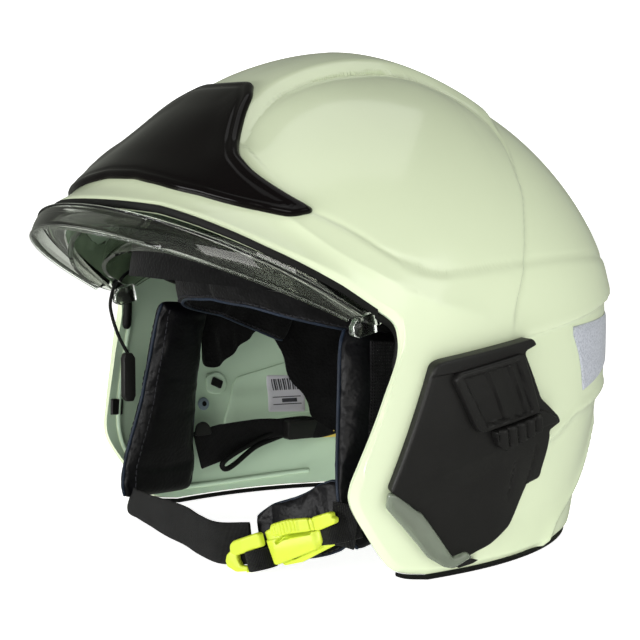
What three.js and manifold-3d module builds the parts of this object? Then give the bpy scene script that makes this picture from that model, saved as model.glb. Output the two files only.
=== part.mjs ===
// A jet-style firefighter helmet as an assembly of separate parts.
// Frame: millimetres, +Z up, the face looks along -Y, the wearer's left is +X.
// The origin is the middle of the footprint, on the surface that the bottom edge rests on.
import * as THREE from "three";
import { mergeVertices } from "three/addons/utils/BufferGeometryUtils.js";
import Module from "manifold-3d";

const wasm = await Module();
wasm.setup();

const degrees = Math.PI / 180;
const clearance = 0.4; // between pieces that touch on the real helmet

// ---------- driving dimensions of the outer shell ----------
const shell = {
  crown: 240.5, // height of the top of the dome
  equator: 119, // height of the widest section
  halfWidth: 124.5,
  frontReach: 152.5, // of the full dome, before the face opening is cut
  rearReach: 155,
  crownShift: 1.7, // the crown lies a little behind the origin
  planPowerFront: 2.18,
  planPowerRear: 2.0,
  dropPowerFront: 1.58, // how square the dome's profile is, towards the front
  dropPowerSide: 1.98,
  dropPowerRear: 1.5,
  taper: 0.149, // how much the skirt narrows at the bottom
  wall: 4,
  brimFlare: 8, // the brim kicks out by this much at its edge
  columns: 64, // facets round the dome
  rows: 14, // facets from crown to equator
};
const skirtRows = 6;

// The face opening and the bottom edge, seen from the side as [y, z].
const brimEdge = [
  [-260, 174],
  [-137, 171],
  [-127, 168],
  [-117, 160.5],
  [-105, 152],
  [-91, 143.5],
  [-77, 135],
  [-62, 124.5],
];
const bottomTrimHeight = 2.4;
function brimHeightAt(y) {
  const last = brimEdge.length - 2;
  const i = Math.max(0, Math.min(last, brimEdge.findIndex(([edgeY]) => edgeY > y) - 1));
  const [[y0, z0], [y1, z1]] = [brimEdge[i], brimEdge[i + 1]];
  return z0 + ((z1 - z0) * (y - y0)) / (y1 - y0);
}

// Creases of the dome on the wearer's left, mirrored for the right: [along, across].
const crestEdge = [[-84, 43], [-51, 47], [-23, 49], [5, 59], [27, 62], [41, 83]]; // [y, x]
const rearCrease = [[122, 11], [142, 19], [159, 25], [173, 31], [185, 34], [225, 45]]; // [z, y]
const panelDrop = 4.5; // the side panels lie this far under the crest and the rear

// ---------- surface of the dome ----------
const superRadius = (a, b, power, angle) =>
  (Math.abs(Math.cos(angle) / a) ** power + Math.abs(Math.sin(angle) / b) ** power) ** (-1 / power);
const smooth = (t) => {
  const c = Math.min(1, Math.max(0, t));
  return c * c * (3 - 2 * c);
};

function lookUp(table, at) {
  const last = table.length - 1;
  if (at <= table[0][0]) return table[0][1];
  if (at >= table[last][0]) return table[last][1];
  const i = table.findIndex(([start]) => start > at) - 1;
  const [[a0, b0], [a1, b1]] = [table[i], table[i + 1]];
  return b0 + ((b1 - b0) * (at - a0)) / (a1 - a0);
}

// How far a place on the dome is sunk, as part of a side panel.
function panelSink({ x, y, z }) {
  const outOfCrest = smooth((Math.abs(x) - lookUp(crestEdge, y) + 4) / 10);
  const aheadOfRear = smooth((lookUp(rearCrease, z) - y + 3) / 9);
  const aboveSides = smooth((z - 128) / 24);
  const fade = Math.exp(-Math.max(0, Math.abs(x) - lookUp(crestEdge, y)) / 60);
  return panelDrop * outOfCrest * aheadOfRear * aboveSides * fade;
}

// Point on the dome at an azimuth, at depth 0 (crown) to 1 (equator) to 2 (bottom edge).
// grow moves the whole surface outwards, or inwards where it is negative.
function domePoint(azimuth, depth, grow = 0, size = shell) {
  const c = Math.cos(azimuth);
  const s = Math.sin(azimuth);
  const front = s < 0;
  const reach = (front ? size.frontReach : size.rearReach) + grow;
  const planPower = front ? size.planPowerFront : size.planPowerRear;
  const plan = superRadius(size.halfWidth + grow, reach, planPower, azimuth);
  const above = 1 - Math.min(1, depth);
  let radius = plan;
  let z = size.equator * (2 - depth);
  if (depth < 1) {
    const drop = (front ? size.dropPowerFront : size.dropPowerRear) * s * s + size.dropPowerSide * c * c;
    const angle = (depth * Math.PI) / 2;
    const k = superRadius(1, 1, drop, angle);
    radius = plan * k * Math.sin(angle);
    z = size.equator + (size.crown + grow - size.equator) * k * Math.cos(angle);
  } else {
    radius = plan * (1 - size.taper * (depth - 1) ** 2);
  }
  const point = new THREE.Vector3(radius * c, size.crownShift * above + radius * s, z);
  if (size === shell) {
    const sink = panelSink(point);
    point.addScaledVector(point.clone().sub(new THREE.Vector3(0, 0, 110)).normalize(), -sink);
  }
  if (size === shell && front) {
    const height = Math.max(0, point.z - brimHeightAt(point.y));
    const push = shell.brimFlare * Math.exp(-((height / 9) ** 2)) * smooth((-point.y - 60) / 50);
    point.x += push * c;
    point.y += push * s;
  }
  return point;
}

// Point on a dome at an azimuth and a height, for rings and bands that follow it.
function domeRing(azimuth, height, grow, size) {
  let [low, high] = [0, 2];
  for (let i = 0; i < 24; i++) {
    const middle = (low + high) / 2;
    if (domePoint(azimuth, middle, grow, size).z > height) low = middle;
    else high = middle;
  }
  return domePoint(azimuth, low, grow, size);
}

// Whether a point lies under the shell's outside by at least a margin.
function underShell(point, margin) {
  const azimuth = Math.atan2(point.y, point.x);
  const limit = domeRing(azimuth, point.z, -margin - panelSink(point), shell);
  return point.z < shell.crown - margin && Math.hypot(point.x, point.y) < Math.hypot(limit.x, limit.y);
}

// ---------- geometry helpers ----------
function geometryOf(vertices, triangles) {
  const geometry = new THREE.BufferGeometry();
  geometry.setAttribute("position", new THREE.Float32BufferAttribute(vertices, 3));
  geometry.setIndex(triangles);
  return geometry;
}

function solidOf(geometry) {
  const bare = geometry.clone();
  bare.deleteAttribute("normal");
  bare.deleteAttribute("uv");
  const merged = mergeVertices(bare, 1e-3);
  const mesh = new wasm.Mesh({
    numProp: 3,
    vertProperties: new Float32Array(merged.attributes.position.array),
    triVerts: new Uint32Array(merged.index.array),
  });
  return new wasm.Manifold(mesh);
}

function geometryFrom(solid) {
  const mesh = solid.getMesh();
  const vertices = [];
  for (let i = 0; i < mesh.numVert; i++) {
    vertices.push(...mesh.vertProperties.subarray(i * mesh.numProp, i * mesh.numProp + 3));
  }
  return geometryOf(vertices, [...mesh.triVerts]);
}

// The largest connected body of a solid.
function mainBody(solid) {
  return solid.decompose().sort((a, b) => b.volume() - a.volume())[0];
}

// A closed dome: a pole, rows of columns, and a flat cap at the bottom.
function domeSolid(grow, size = shell, lowest = 2.1) {
  const vertices = [...domePoint(0, 0.0001, grow, size).setX(0).setY(size.crownShift)];
  const triangles = [];
  const depths = [];
  const { columns, rows } = size;
  for (let row = 1; row <= rows; row++) depths.push(row / rows);
  for (let row = 1; row <= skirtRows; row++) depths.push(1 + ((lowest - 1) * row) / skirtRows);
  for (const depth of depths) {
    for (let i = 0; i < columns; i++) {
      vertices.push(...domePoint((i / columns) * 2 * Math.PI, depth, grow, size));
    }
  }
  const at = (row, i) => 1 + row * columns + (i % columns);
  for (let i = 0; i < columns; i++) {
    triangles.push(0, at(0, i), at(0, i + 1));
    for (let row = 0; row < depths.length - 1; row++) {
      triangles.push(at(row, i), at(row + 1, i), at(row + 1, i + 1));
      triangles.push(at(row, i), at(row + 1, i + 1), at(row, i + 1));
    }
  }
  const centre = vertices.length / 3;
  vertices.push(0, 0, vertices[vertices.length - 1]);
  for (let i = 0; i < columns; i++) {
    triangles.push(centre, at(depths.length - 1, i + 1), at(depths.length - 1, i));
  }
  return solidOf(geometryOf(vertices, triangles));
}

// The skin between two grown domes.
const domeSkin = (from, to, size = shell) => domeSolid(to, size).subtract(domeSolid(from, size));

function outline(points) {
  const shape = new THREE.Shape();
  points.forEach(([u, v], i) => (i ? shape.lineTo(u, v) : shape.moveTo(u, v)));
  return shape;
}

// An outline of [y, z] points, extruded along X from one x to another.
function sidePrism(points, fromX, toX) {
  const geometry = new THREE.ExtrudeGeometry(outline(points), { depth: toX - fromX, bevelEnabled: false });
  geometry.applyMatrix4(new THREE.Matrix4().set(0, 0, 1, fromX, 1, 0, 0, 0, 0, 1, 0, 0, 0, 0, 0, 1));
  return solidOf(geometry);
}

// An outline of [x, z] points, extruded along Y from one y to another.
function frontPrism(points, fromY, toY) {
  const geometry = new THREE.ExtrudeGeometry(outline(points), { depth: toY - fromY, bevelEnabled: false });
  geometry.applyMatrix4(new THREE.Matrix4().set(1, 0, 0, 0, 0, 0, -1, toY, 0, 1, 0, 0, 0, 0, 0, 1));
  return solidOf(geometry);
}

// A slab between two grids of points with the same rows and columns.
function slab(outside, inside) {
  const rows = outside.length;
  const across = outside[0].length;
  const vertices = [...outside.flat(), ...inside.flat()].flatMap((p) => [...p]);
  const shift = rows * across;
  const triangles = [];
  const quad = (a, b, c, d) => triangles.push(a, b, c, a, c, d);
  const at = (r, c) => r * across + c;
  for (let r = 0; r < rows - 1; r++) {
    for (let c = 0; c < across - 1; c++) {
      quad(at(r, c), at(r + 1, c), at(r + 1, c + 1), at(r, c + 1));
      quad(at(r, c) + shift, at(r, c + 1) + shift, at(r + 1, c + 1) + shift, at(r + 1, c) + shift);
    }
    quad(at(r, 0), at(r, 0) + shift, at(r + 1, 0) + shift, at(r + 1, 0));
    quad(at(r + 1, across - 1), at(r + 1, across - 1) + shift, at(r, across - 1) + shift, at(r, across - 1));
  }
  for (let c = 0; c < across - 1; c++) {
    quad(at(0, c + 1), at(0, c + 1) + shift, at(0, c) + shift, at(0, c));
    quad(at(rows - 1, c), at(rows - 1, c) + shift, at(rows - 1, c + 1) + shift, at(rows - 1, c + 1));
  }
  const solid = solidOf(geometryOf(vertices, triangles));
  return solid.volume() < 0 ? solidOf(geometryOf(vertices, [...triangles].reverse())) : solid;
}

// A strap or strip of rectangular section along a smooth path. across gives the width's direction at 0 to 1 along it.
function ribbon(path, across, width, thickness, { steps = 24, closed = false } = {}) {
  const curve = new THREE.CatmullRomCurve3(path.map((p) => new THREE.Vector3(...p)), closed, "centripetal");
  const corners = [];
  const count = closed ? steps : steps + 1;
  for (let i = 0; i < count; i++) {
    const t = i / steps;
    const place = curve.getPointAt(t);
    const along = curve.getTangentAt(t);
    const wide = new THREE.Vector3(...across(t)).addScaledVector(along, -along.dot(new THREE.Vector3(...across(t))));
    wide.normalize();
    const thick = along.clone().cross(wide).normalize();
    const w = (typeof width === "function" ? width(t) : width) / 2;
    const h = thickness / 2;
    const corner = (a, b) => place.clone().addScaledVector(wide, a * w).addScaledVector(thick, b * h);
    corners.push([corner(-1, -1), corner(1, -1), corner(1, 1), corner(-1, 1)]);
  }
  const vertices = corners.flat().flatMap((p) => [...p]);
  const triangles = [];
  const rings = closed ? count : count - 1;
  for (let i = 0; i < rings; i++) {
    const a = i * 4;
    const b = ((i + 1) % count) * 4;
    for (let k = 0; k < 4; k++) {
      const n = (k + 1) % 4;
      triangles.push(a + k, a + n, b + n, a + k, b + n, b + k);
    }
  }
  if (!closed) {
    const last = (count - 1) * 4;
    triangles.push(0, 3, 2, 0, 2, 1, last, last + 1, last + 2, last, last + 2, last + 3);
  }
  return solidOf(geometryOf(vertices, triangles));
}

function boxAt(size, place, turn = [0, 0, 0]) {
  const geometry = new THREE.BoxGeometry(...size);
  geometry.applyMatrix4(new THREE.Matrix4().makeRotationFromEuler(new THREE.Euler(...turn)));
  geometry.translate(...place);
  return solidOf(geometry);
}

function cylinderAlongX(radius, fromX, toX, y, z, sides = 24) {
  const geometry = new THREE.CylinderGeometry(radius, radius, Math.abs(toX - fromX), sides);
  geometry.rotateZ(Math.PI / 2);
  geometry.translate((fromX + toX) / 2, y, z);
  return solidOf(geometry);
}

const sides = [
  { name: "left", sign: 1 },
  { name: "right", sign: -1 },
];

// ---------- materials ----------
const finish = (color, roughness, metalness = 0) =>
  new THREE.MeshStandardMaterial({ color, roughness, metalness });
const materials = {
  shell: finish(0xcfdcb6, 0.28),
  plate: finish(0x14120f, 0.3),
  cover: finish(0x242422, 0.6),
  rubber: finish(0x121212, 0.8),
  clear: finish(0xd8dcd2, 0.08),
  lens: finish(0xc9d3c6, 0.15),
  leather: finish(0x131216, 0.5),
  webbing: finish(0x18181a, 0.9),
  buckle: finish(0xc6dd1e, 0.4),
  reflective: finish(0xb4bac8, 0.5),
  foam: finish(0x26282a, 0.9),
  amber: finish(0xd2a440, 0.5),
  paper: finish(0xe6e6ea, 0.8),
  steel: finish(0xa8a8a8, 0.35, 1),
};

const helmet = new THREE.Group();
function add(name, solid, material) {
  const mesh = new THREE.Mesh(geometryFrom(solid), material);
  mesh.name = name;
  helmet.add(mesh);
}

// ---------- outer shell ----------
// The region taken away by the face opening and under the bottom edge, as [y, z].
const openingEdge = [
  [-55, 120],
  [-51.5, 113],
  [-52, 103],
  [-57, 87],
  [-66, 57],
  [-69, 46],
  [-68, 40],
  [-60, 27],
  [-47, 10],
  [-36, 4.5],
];
const farFront = brimEdge[0][0];
const openingCut = [
  ...brimEdge,
  ...openingEdge,
  [-24, bottomTrimHeight],
  [190, bottomTrimHeight],
  [190, -60],
  [farFront, -60],
];
const recessDepth = 3;
const recessOutline = [
  [54, 110],
  [62, 98],
  [67, 86],
  [68, 75],
  [200, 100],
  [200, 116],
  [54, 114],
];
const cut = sidePrism(openingCut, -200, 200);
let shellSolid = domeSkin(-shell.wall, 0).subtract(cut);
const recessBands = sides.map(({ sign }) => sidePrism(recessOutline, Math.min(0, sign * 200), Math.max(0, sign * 200)));
const nearMiddle = boxAt([52, 200, 200], [0, 130, 100]); // the recesses stop short of the nape's middle
for (const band of recessBands) {
  shellSolid = shellSolid.subtract(band.intersect(domeSkin(-recessDepth, 20)).subtract(nearMiddle));
}
add("outer_shell", mainBody(shellSolid), materials.shell);

// Rubber trim under the bottom edge, from one cheek corner round the nape to the other.
const trimBand = sidePrism(
  [
    [-20, 0],
    [190, 0],
    [190, bottomTrimHeight - clearance],
    [-20, bottomTrimHeight - clearance],
  ],
  -200,
  200,
);
add("bottom_trim", mainBody(domeSkin(-shell.wall, 0).intersect(trimBand)), materials.rubber);

// Black rubber seal that hangs under the brim's edge.
const brimUnderside = brimEdge.filter(([y]) => y < -64);
const brimSealBand = sidePrism(
  [
    ...brimUnderside.map(([y, z]) => [y, z - clearance]),
    ...brimUnderside.map(([y, z]) => [y, z - 3]).reverse(),
  ],
  -200,
  200,
);
add("brim_seal", mainBody(domeSkin(-shell.wall + 0.5, -0.5).intersect(brimSealBand)), materials.rubber);

// ---------- front plate ----------
const plateHalf = [
  [11, 225],
  [21, 220],
  [33, 210],
  [43, 201],
  [51, 194],
  [62, 188],
  [77, 179],
  [88, 171],
  [94.5, 166],
  [94, 163.5],
  [90, 163.5],
  [79, 167],
  [54, 174.5],
  [23, 180],
];
const plateOutline = [...plateHalf, ...plateHalf.map(([x, z]) => [-x, z]).reverse()];
const plateSkin = domeSkin(clearance, 3).intersect(frontPrism(plateOutline, -200, -20));
add("front_plate", mainBody(plateSkin), materials.plate);

// ---------- side covers, lamps and accessory adapters ----------
const coverOutline = [
  [-35, 101],
  [-25, 104],
  [20, 109],
  [24, 105],
  [17, 101],
  [29, 84],
  [48, 68],
  [41, 63],
  [42, 58],
  [39, 42],
  [31, 39],
  [25, 25],
  [17, 16],
  [2, 8],
  [-13, 13],
  [-40, 42],
  [-50, 50],
];
const lensOutline = [
  [-51, 48.5],
  [-41.5, 41],
  [-14.5, 12],
  [1, 7.2],
  [-2, 6],
  [-10, 5],
  [-27, 12],
  [-52, 40],
];
const coverThickness = 6;
const adapterOutline = [
  [-24, 94],
  [17, 100],
  [28, 83],
  [34, 71],
  [2, 66],
  [-8, 69],
];
const latchOutline = [
  [3, 64.5],
  [35, 69.5],
  [33, 62],
  [8, 57.5],
];
for (const { name, sign } of sides) {
  const from = Math.min(sign * 60, sign * 200);
  const to = Math.max(sign * 60, sign * 200);
  const onSide = (points, low, high) => mainBody(sidePrism(points, from, to).intersect(domeSkin(low, high)));
  const overCover = coverThickness + clearance;
  add(`side_cover_${name}`, onSide(coverOutline, clearance, coverThickness), materials.cover);
  add(`lamp_module_${name}`, onSide(lensOutline, clearance, 3.6), materials.cover);
  add(`lamp_lens_${name}`, onSide(lensOutline, 4, coverThickness + 1), materials.lens);
  add(`adapter_plate_${name}`, onSide(adapterOutline, overCover, coverThickness + 3.5), materials.cover);
  add(`adapter_latch_${name}`, onSide(latchOutline, overCover, coverThickness + 4.5), materials.cover);
}

// ---------- reflective strips in the rear recesses ----------
const stripOutline = [
  [58, 108.5],
  [65, 97],
  [69.5, 86],
  [70.5, 78],
  [200, 102],
  [200, 112],
];
for (const { name, sign } of sides) {
  const prism = sidePrism(stripOutline, Math.min(0, sign * 200), Math.max(0, sign * 200)).subtract(
    boxAt([58, 200, 200], [0, 130, 100]),
  );
  const strip = prism.intersect(domeSkin(-recessDepth + clearance, -recessDepth + 1.2));
  add(`reflective_strip_${name}`, mainBody(strip), materials.reflective);
}

// ---------- impact liner and head fitting ----------
const liner = {
  ...shell,
  crown: 216,
  halfWidth: 92.5,
  frontReach: 98,
  rearReach: 146,
  dropPowerFront: 2.2,
  dropPowerSide: 2.2,
  dropPowerRear: 1.8,
  taper: 0.1,
  columns: 40,
  rows: 11,
};
const linerInside = { ...liner, crown: 203, halfWidth: 83, frontReach: 90, rearReach: 118 };
const linerEdge = [
  [-200, 146],
  [-60, 128],
  [-20, 122],
  [45, 116],
  [70, 92],
  [200, 88],
  [200, -60],
  [-200, -60],
];
const linerSolid = domeSolid(0, liner)
  .subtract(domeSolid(0, linerInside))
  .subtract(sidePrism(linerEdge, -200, 200));
add("impact_liner", mainBody(linerSolid), materials.foam);

const capEdge = [
  [-200, 176],
  [200, 150],
  [200, -60],
  [-200, -60],
];
const comfortCap = domeSolid(-0.6, linerInside)
  .subtract(domeSolid(-4, linerInside))
  .subtract(sidePrism(capEdge, -200, 200));
add("comfort_cap", mainBody(comfortCap), materials.webbing);

const upright = () => [0, 0, 1];
const bandWidth = 24;
// A place on the head's fitting ring, which slopes down from the brow to the nape.
function onHead(azimuth, inset, width, lift = 0) {
  const height = 125 - 19 * Math.sin(azimuth) + lift;
  const { x, y } = domeRing(azimuth, height + width / 2, -inset, linerInside);
  return [x, y, height];
}
const headbandPath = [];
for (let i = 0; i < 16; i++) headbandPath.push(onHead((i / 16) * 2 * Math.PI, 2.4, bandWidth));
add("headband", ribbon(headbandPath, upright, bandWidth, 2, { steps: 48, closed: true }), materials.leather);

const browPath = [];
for (let i = -4; i <= 4; i++) browPath.push(onHead((-90 + i * 14) * degrees, 7.5, 30, -2));
add("brow_pad", ribbon(browPath, upright, 30, 4, { steps: 24 }), materials.leather);

const napePath = [
  [72, 58, 72],
  [56, 90, 66],
  [0, 110, 62],
  [-56, 90, 66],
  [-72, 58, 72],
];
add("nape_pad", ribbon(napePath, upright, 40, 5, { steps: 24 }), materials.leather);

const ratchetPlace = [0, 118, 62];
const knobRadius = 17;
add("ratchet_housing", boxAt([72, 8, 30], ratchetPlace), materials.cover);
const knobShape = new THREE.Shape();
const knobFlutes = 16;
for (let i = 0; i < knobFlutes * 2; i++) {
  const angle = (i * Math.PI) / knobFlutes;
  const radius = i % 2 ? knobRadius : knobRadius - 1.6;
  knobShape[i ? "lineTo" : "moveTo"](radius * Math.cos(angle), radius * Math.sin(angle));
}
const knobGeometry = new THREE.ExtrudeGeometry(knobShape, { depth: 11, bevelEnabled: false });
knobGeometry.rotateX(-Math.PI / 2);
knobGeometry.translate(0, 122.4, ratchetPlace[2]);
add("ratchet_knob", solidOf(knobGeometry), materials.cover);

// ---------- visors ----------
const hinge = { y: -5, z: 125 };
const polar = (x, reach, angle) =>
  new THREE.Vector3(x, hinge.y - reach * Math.cos(angle * degrees), hinge.z + reach * Math.sin(angle * degrees));
const pinRadius = 4;
const paneHalf = 28; // columns on each side of the middle
const topSlope = 8; // degrees

// A fan-shaped pane that turns about the hinge: a curved front, and two side arms.
function visorPane({ halfWidth, power, sideReach, frontLow, sideLow, top, armLow, reachAt, thickness, room }) {
  // The pane reaches up under the shell as far as there is room for it.
  const lowest = (turn) => sideLow + (frontLow - sideLow) * superRadius(1, 1, power, turn) * Math.cos(turn);
  const roomAbove = (turn) => {
    const k = superRadius(1, 1, power, turn);
    const least = lowest(turn) + 5;
    for (let angle = top; angle > least; angle--) {
      const reach = sideReach + (reachAt(angle) - sideReach) * k * Math.cos(turn);
      if (underShell(polar(halfWidth * k * Math.sin(turn), reach, angle), shell.wall + room)) return angle;
    }
    return least;
  };
  const turns = [];
  for (let i = -paneHalf; i <= paneHalf; i++) turns.push((i / paneHalf) * 90);
  // Its upper edge slopes by no more than topSlope between two columns.
  const tops = turns.map((turn) => roomAbove(turn * degrees));
  for (let i = 1; i < tops.length; i++) tops[i] = Math.min(tops[i], tops[i - 1] + topSlope);
  for (let i = tops.length - 2; i >= 0; i--) tops[i] = Math.min(tops[i], tops[i + 1] + topSlope);
  const rows = 7;
  const outside = [];
  const inside = [];
  const eyeRadius = 9;
  for (let row = 0; row < rows; row++) {
    const up = row / (rows - 1);
    const make = (offset) => {
      const line = [];
      const arm = (sign) => {
        const points = [];
        for (const back of [0.98, 0.66, 0.33]) {
          const low = sideLow + (armLow - sideLow) * Math.min(1, back * 1.5);
          const angle = low + (tops[0] - low) * up;
          points.push(polar(sign * (halfWidth + offset), sideReach + (eyeRadius - sideReach) * back, angle));
        }
        return points;
      };
      line.push(...arm(-1));
      for (const [column, turn] of turns.entries()) {
        const c = Math.cos(turn * degrees);
        const s = Math.sin(turn * degrees);
        const k = superRadius(1, 1, power, turn * degrees);
        const low = lowest(turn * degrees);
        const angle = low + (tops[column] - low) * up;
        const reach = sideReach + (reachAt(angle) - sideReach) * k * c;
        const norm = Math.hypot(c ** (power - 1), Math.abs(s) ** (power - 1));
        const dx = (Math.sign(s) * Math.abs(s) ** (power - 1)) / norm;
        const dr = c ** (power - 1) / norm;
        line.push(polar(halfWidth * k * s + offset * dx, reach + offset * dr, angle));
      }
      line.push(...arm(1).reverse());
      return line;
    };
    outside.push(make(thickness / 2));
    inside.push(make(-thickness / 2));
  }
  let pane = slab(outside, inside);
  for (const { sign } of sides) {
    const near = sign * (halfWidth - thickness / 2);
    const far = sign * (halfWidth + thickness / 2);
    pane = pane.add(cylinderAlongX(eyeRadius + 3, near, far, hinge.y, hinge.z));
    pane = pane.subtract(cylinderAlongX(pinRadius + 0.3, near - 4 * sign, far + 4 * sign, hinge.y, hinge.z));
  }
  return mainBody(pane);
}

const shieldReach = [[18, 120], [31, 112.5], [42, 107], [52, 104.2], [60, 103.6]];
const shieldPane = {
  halfWidth: 106,
  power: 2,
  sideReach: 50,
  frontLow: 17,
  sideLow: -9,
  top: 72,
  armLow: 12,
  reachAt: (angle) => lookUp(shieldReach, angle),
  thickness: 2.4,
  room: 2, // between the pane and the inside of the shell
};
add("face_shield", visorPane(shieldPane), materials.clear);

const ocularReach = [[18, 98.6], [45, 98], [60, 96.5]];
const ocularPane = {
  ...shieldPane,
  halfWidth: 96,
  sideReach: 48,
  frontLow: 12,
  sideLow: -4,
  top: 56,
  reachAt: (angle) => lookUp(ocularReach, angle),
  room: 7.5,
};
add("ocular_visor", visorPane(ocularPane), materials.clear);

// The flared lip along the lower edge of the face shield.
function tiltedArc(turn, { halfWidth, front, side, power }) {
  const k = superRadius(1, 1, power, turn);
  const g = 1 - k * Math.cos(turn);
  return new THREE.Vector3(
    halfWidth * k * Math.sin(turn),
    front[0] + (side[0] - front[0]) * g,
    front[1] + (side[1] - front[1]) * g + 3.2 * g * (1 - g),
  );
}
const lipLower = { halfWidth: 107.4, front: [-150.6, 158], side: [-58.2, 113.9], power: 1.85 };
const lipUpper = { halfWidth: 110.6, front: [-141.4, 168], side: [-54, 115.5], power: 2.05 };
const lipRoot = { halfWidth: 105.6, front: [-125.2, 162.5], side: [-51, 112.5], power: 2.2 };
const lipOutside = [[], [], []];
const lipInside = [[], [], []];
for (let i = -20; i <= 20; i++) {
  const turn = (i / 20) * 82 * degrees;
  [lipLower, lipUpper, lipRoot].forEach((edge, row) => {
    const point = tiltedArc(turn, edge);
    const inward = new THREE.Vector3(-Math.sin(turn), Math.cos(turn), 0);
    const [goIn, goDown] = [[2.2, -0.6], [3.2, -2.6], [0, -2.2]][row];
    lipOutside[row].push(point);
    lipInside[row].push(point.clone().addScaledVector(inward, goIn).add(new THREE.Vector3(0, 0, goDown)));
  });
}
const lip = slab(lipOutside, lipInside).subtract(visorPane({ ...shieldPane, thickness: 2.4 + 2 * clearance }));
add("shield_lip", mainBody(lip), materials.clear);

for (const { name, sign } of sides) {
  const post = cylinderAlongX(pinRadius, sign * 93.2, sign * 112.5, hinge.y, hinge.z).add(
    cylinderAlongX(11, sign * 112, sign * 117.6, hinge.y, hinge.z),
  );
  add(`visor_pivot_${name}`, post, materials.cover);
  add(`ocular_tab_${name}`, boxAt([4.4, 11, 9], [sign * 100, -57, 117], [0.2, 0, 0]), materials.clear);
}

// ---------- cheek pads and chin strap ----------
for (const { name, sign } of sides) {
  const foot = sign > 0 ? [95, -36, 17] : [93, -46, 17]; // the buckle presses the left pad back
  const padPath = [
    [80, -31, 109],
    [84, -35, 84],
    [88, -39, 54],
    foot,
  ].map(([x, y, z]) => [sign * x, y, z]);
  add(`cheek_pad_${name}`, ribbon(padPath, () => [sign * 0.12, 1, 0], 38, 10, { steps: 16 }), materials.leather);
  const meshPath = [
    [89.5, -34, 106],
    [92, -36, 84],
    [95.2, -40, 62],
  ].map(([x, y, z]) => [sign * x, y, z]);
  add(`cheek_mesh_${name}`, ribbon(meshPath, () => [sign * 0.12, 1, 0], 34, 1.6, { steps: 10 }), materials.webbing);
}

const strapWidth = 20;
const rightStrapPath = [
  [-91, -66, 20],
  [-86, -70, 11.5],
  [-60, -74, 10.5],
  [-30, -79, 10.5],
  [-4, -83, 10.5],
  [16, -84.5, 10.5],
  [30, -83, 11],
];
add("chin_strap_right", ribbon(rightStrapPath, upright, strapWidth, 1.8, { steps: 28 }), materials.webbing);
const leftStrapPath = [
  [90, -63.2, 29],
  [94, -62, 28.5],
  [99, -60.5, 28],
];
add("chin_strap_left", ribbon(leftStrapPath, upright, strapWidth, 1.8, { steps: 8 }), materials.webbing);
const chinPadPath = [
  [36, -70, 16.5],
  [58, -63.5, 25],
  [76, -59.5, 36],
];
add("chin_pad", ribbon(chinPadPath, upright, 25, 4, { steps: 14 }), materials.leather);

// The buckle is built lying flat, along X, and then set on the strap.
const buckleEnds = { low: new THREE.Vector3(29, -83.5, 9.6), high: new THREE.Vector3(88, -64.5, 28.5) };
const buckleAlong = buckleEnds.high.clone().sub(buckleEnds.low).normalize();
const buckleUp = new THREE.Vector3(0, 0, 1).addScaledVector(buckleAlong, -buckleAlong.z).normalize();
const buckleOut = buckleAlong.clone().cross(buckleUp);
const buckleTurn = new THREE.Matrix4().makeBasis(buckleAlong, buckleUp, buckleOut);
buckleTurn.setPosition(buckleEnds.low.clone().add(buckleEnds.high).multiplyScalar(0.5));
const onStrap = (solid) => solidOf(geometryFrom(solid).applyMatrix4(buckleTurn));
const buckleBody = boxAt([30, 18, 6], [2, 0, 0])
  .subtract(boxAt([24, 11, 2.4], [4, 0, 3]))
  .add(boxAt([14, 18, 2], [23.5, 0, -2]));
add("buckle_body", onStrap(buckleBody), materials.buckle);
const buckleFrame = boxAt([17, 18.6, 3], [-22.9, 0, 2.6]).subtract(boxAt([9, 13, 20], [-23.5, 0, 2.6]));
add("buckle_frame", onStrap(buckleFrame), materials.buckle);
const leverPivot = { along: 25, out: 3.8 };
const lever = boxAt([37, 10.5, 2.8], [leverPivot.along - 16, 1.5, leverPivot.out + 1.2]);
add("buckle_lever", onStrap(lever), materials.buckle);

// ---------- nape straps, their size clip, and the small fittings ----------
for (const { name, sign } of sides) {
  const napeStrapPath = [
    [97.5, -14, 27],
    [98.5, 20, 33],
    [91, 60, 36],
    [74, 92, 44],
    [42, 119.5, 56],
  ].map(([x, y, z]) => [sign * x, y, z]);
  add(`nape_strap_${name}`, ribbon(napeStrapPath, upright, 12, 1.8, { steps: 20 }), materials.webbing);
  const clipTurn = [0, 0, sign * 0.42];
  add(`strap_clip_${name}`, boxAt([3, 18, 16], [sign * 83.5, 68, 38], clipTurn), materials.amber);
}
// The free end of the right nape strap, folded into a loop that hangs inside the cheek.
const tailPath = [
  [-94, 40, 22],
  [-93, 24, 16],
  [-92, 8, 11],
  [-91.5, 3, 13],
  [-92, 8, 16.5],
  [-93, 22, 21],
];
add("strap_tail", ribbon(tailPath, upright, 3, 1.6, { steps: 20 }), materials.webbing);
add("switch_box", boxAt([4, 7, 25.5], [-92, -60.7, 74.2]), materials.cover);
const cablePath = [
  [-92.4, -60.8, 87.9],
  [-95, -64.5, 96],
  [-98.8, -66, 106],
  [-100.3, -66, 114],
  [-100.2, -62, 124],
  [-99.6, -52, 130],
  [-99.4, -28, 130],
  [-99.4, -10, 127],
];
const cableCurve = new THREE.CatmullRomCurve3(cablePath.map((p) => new THREE.Vector3(...p)));
const circle = new THREE.Shape().absarc(0, 0, 0.9, 0, 2 * Math.PI, false);
const cable = new THREE.ExtrudeGeometry(circle, { steps: 24, curveSegments: 6, extrudePath: cableCurve });
add("lamp_cable", solidOf(cable), materials.rubber);

const labelOutline = [
  [60, 95],
  [96, 95],
  [96, 58],
  [60, 58],
];
const label = sidePrism(labelOutline, -200, 0).intersect(domeSkin(-shell.wall - 0.9, -shell.wall - 0.4));
add("size_label", mainBody(label), materials.paper);

export default helmet;
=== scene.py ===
import math

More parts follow.
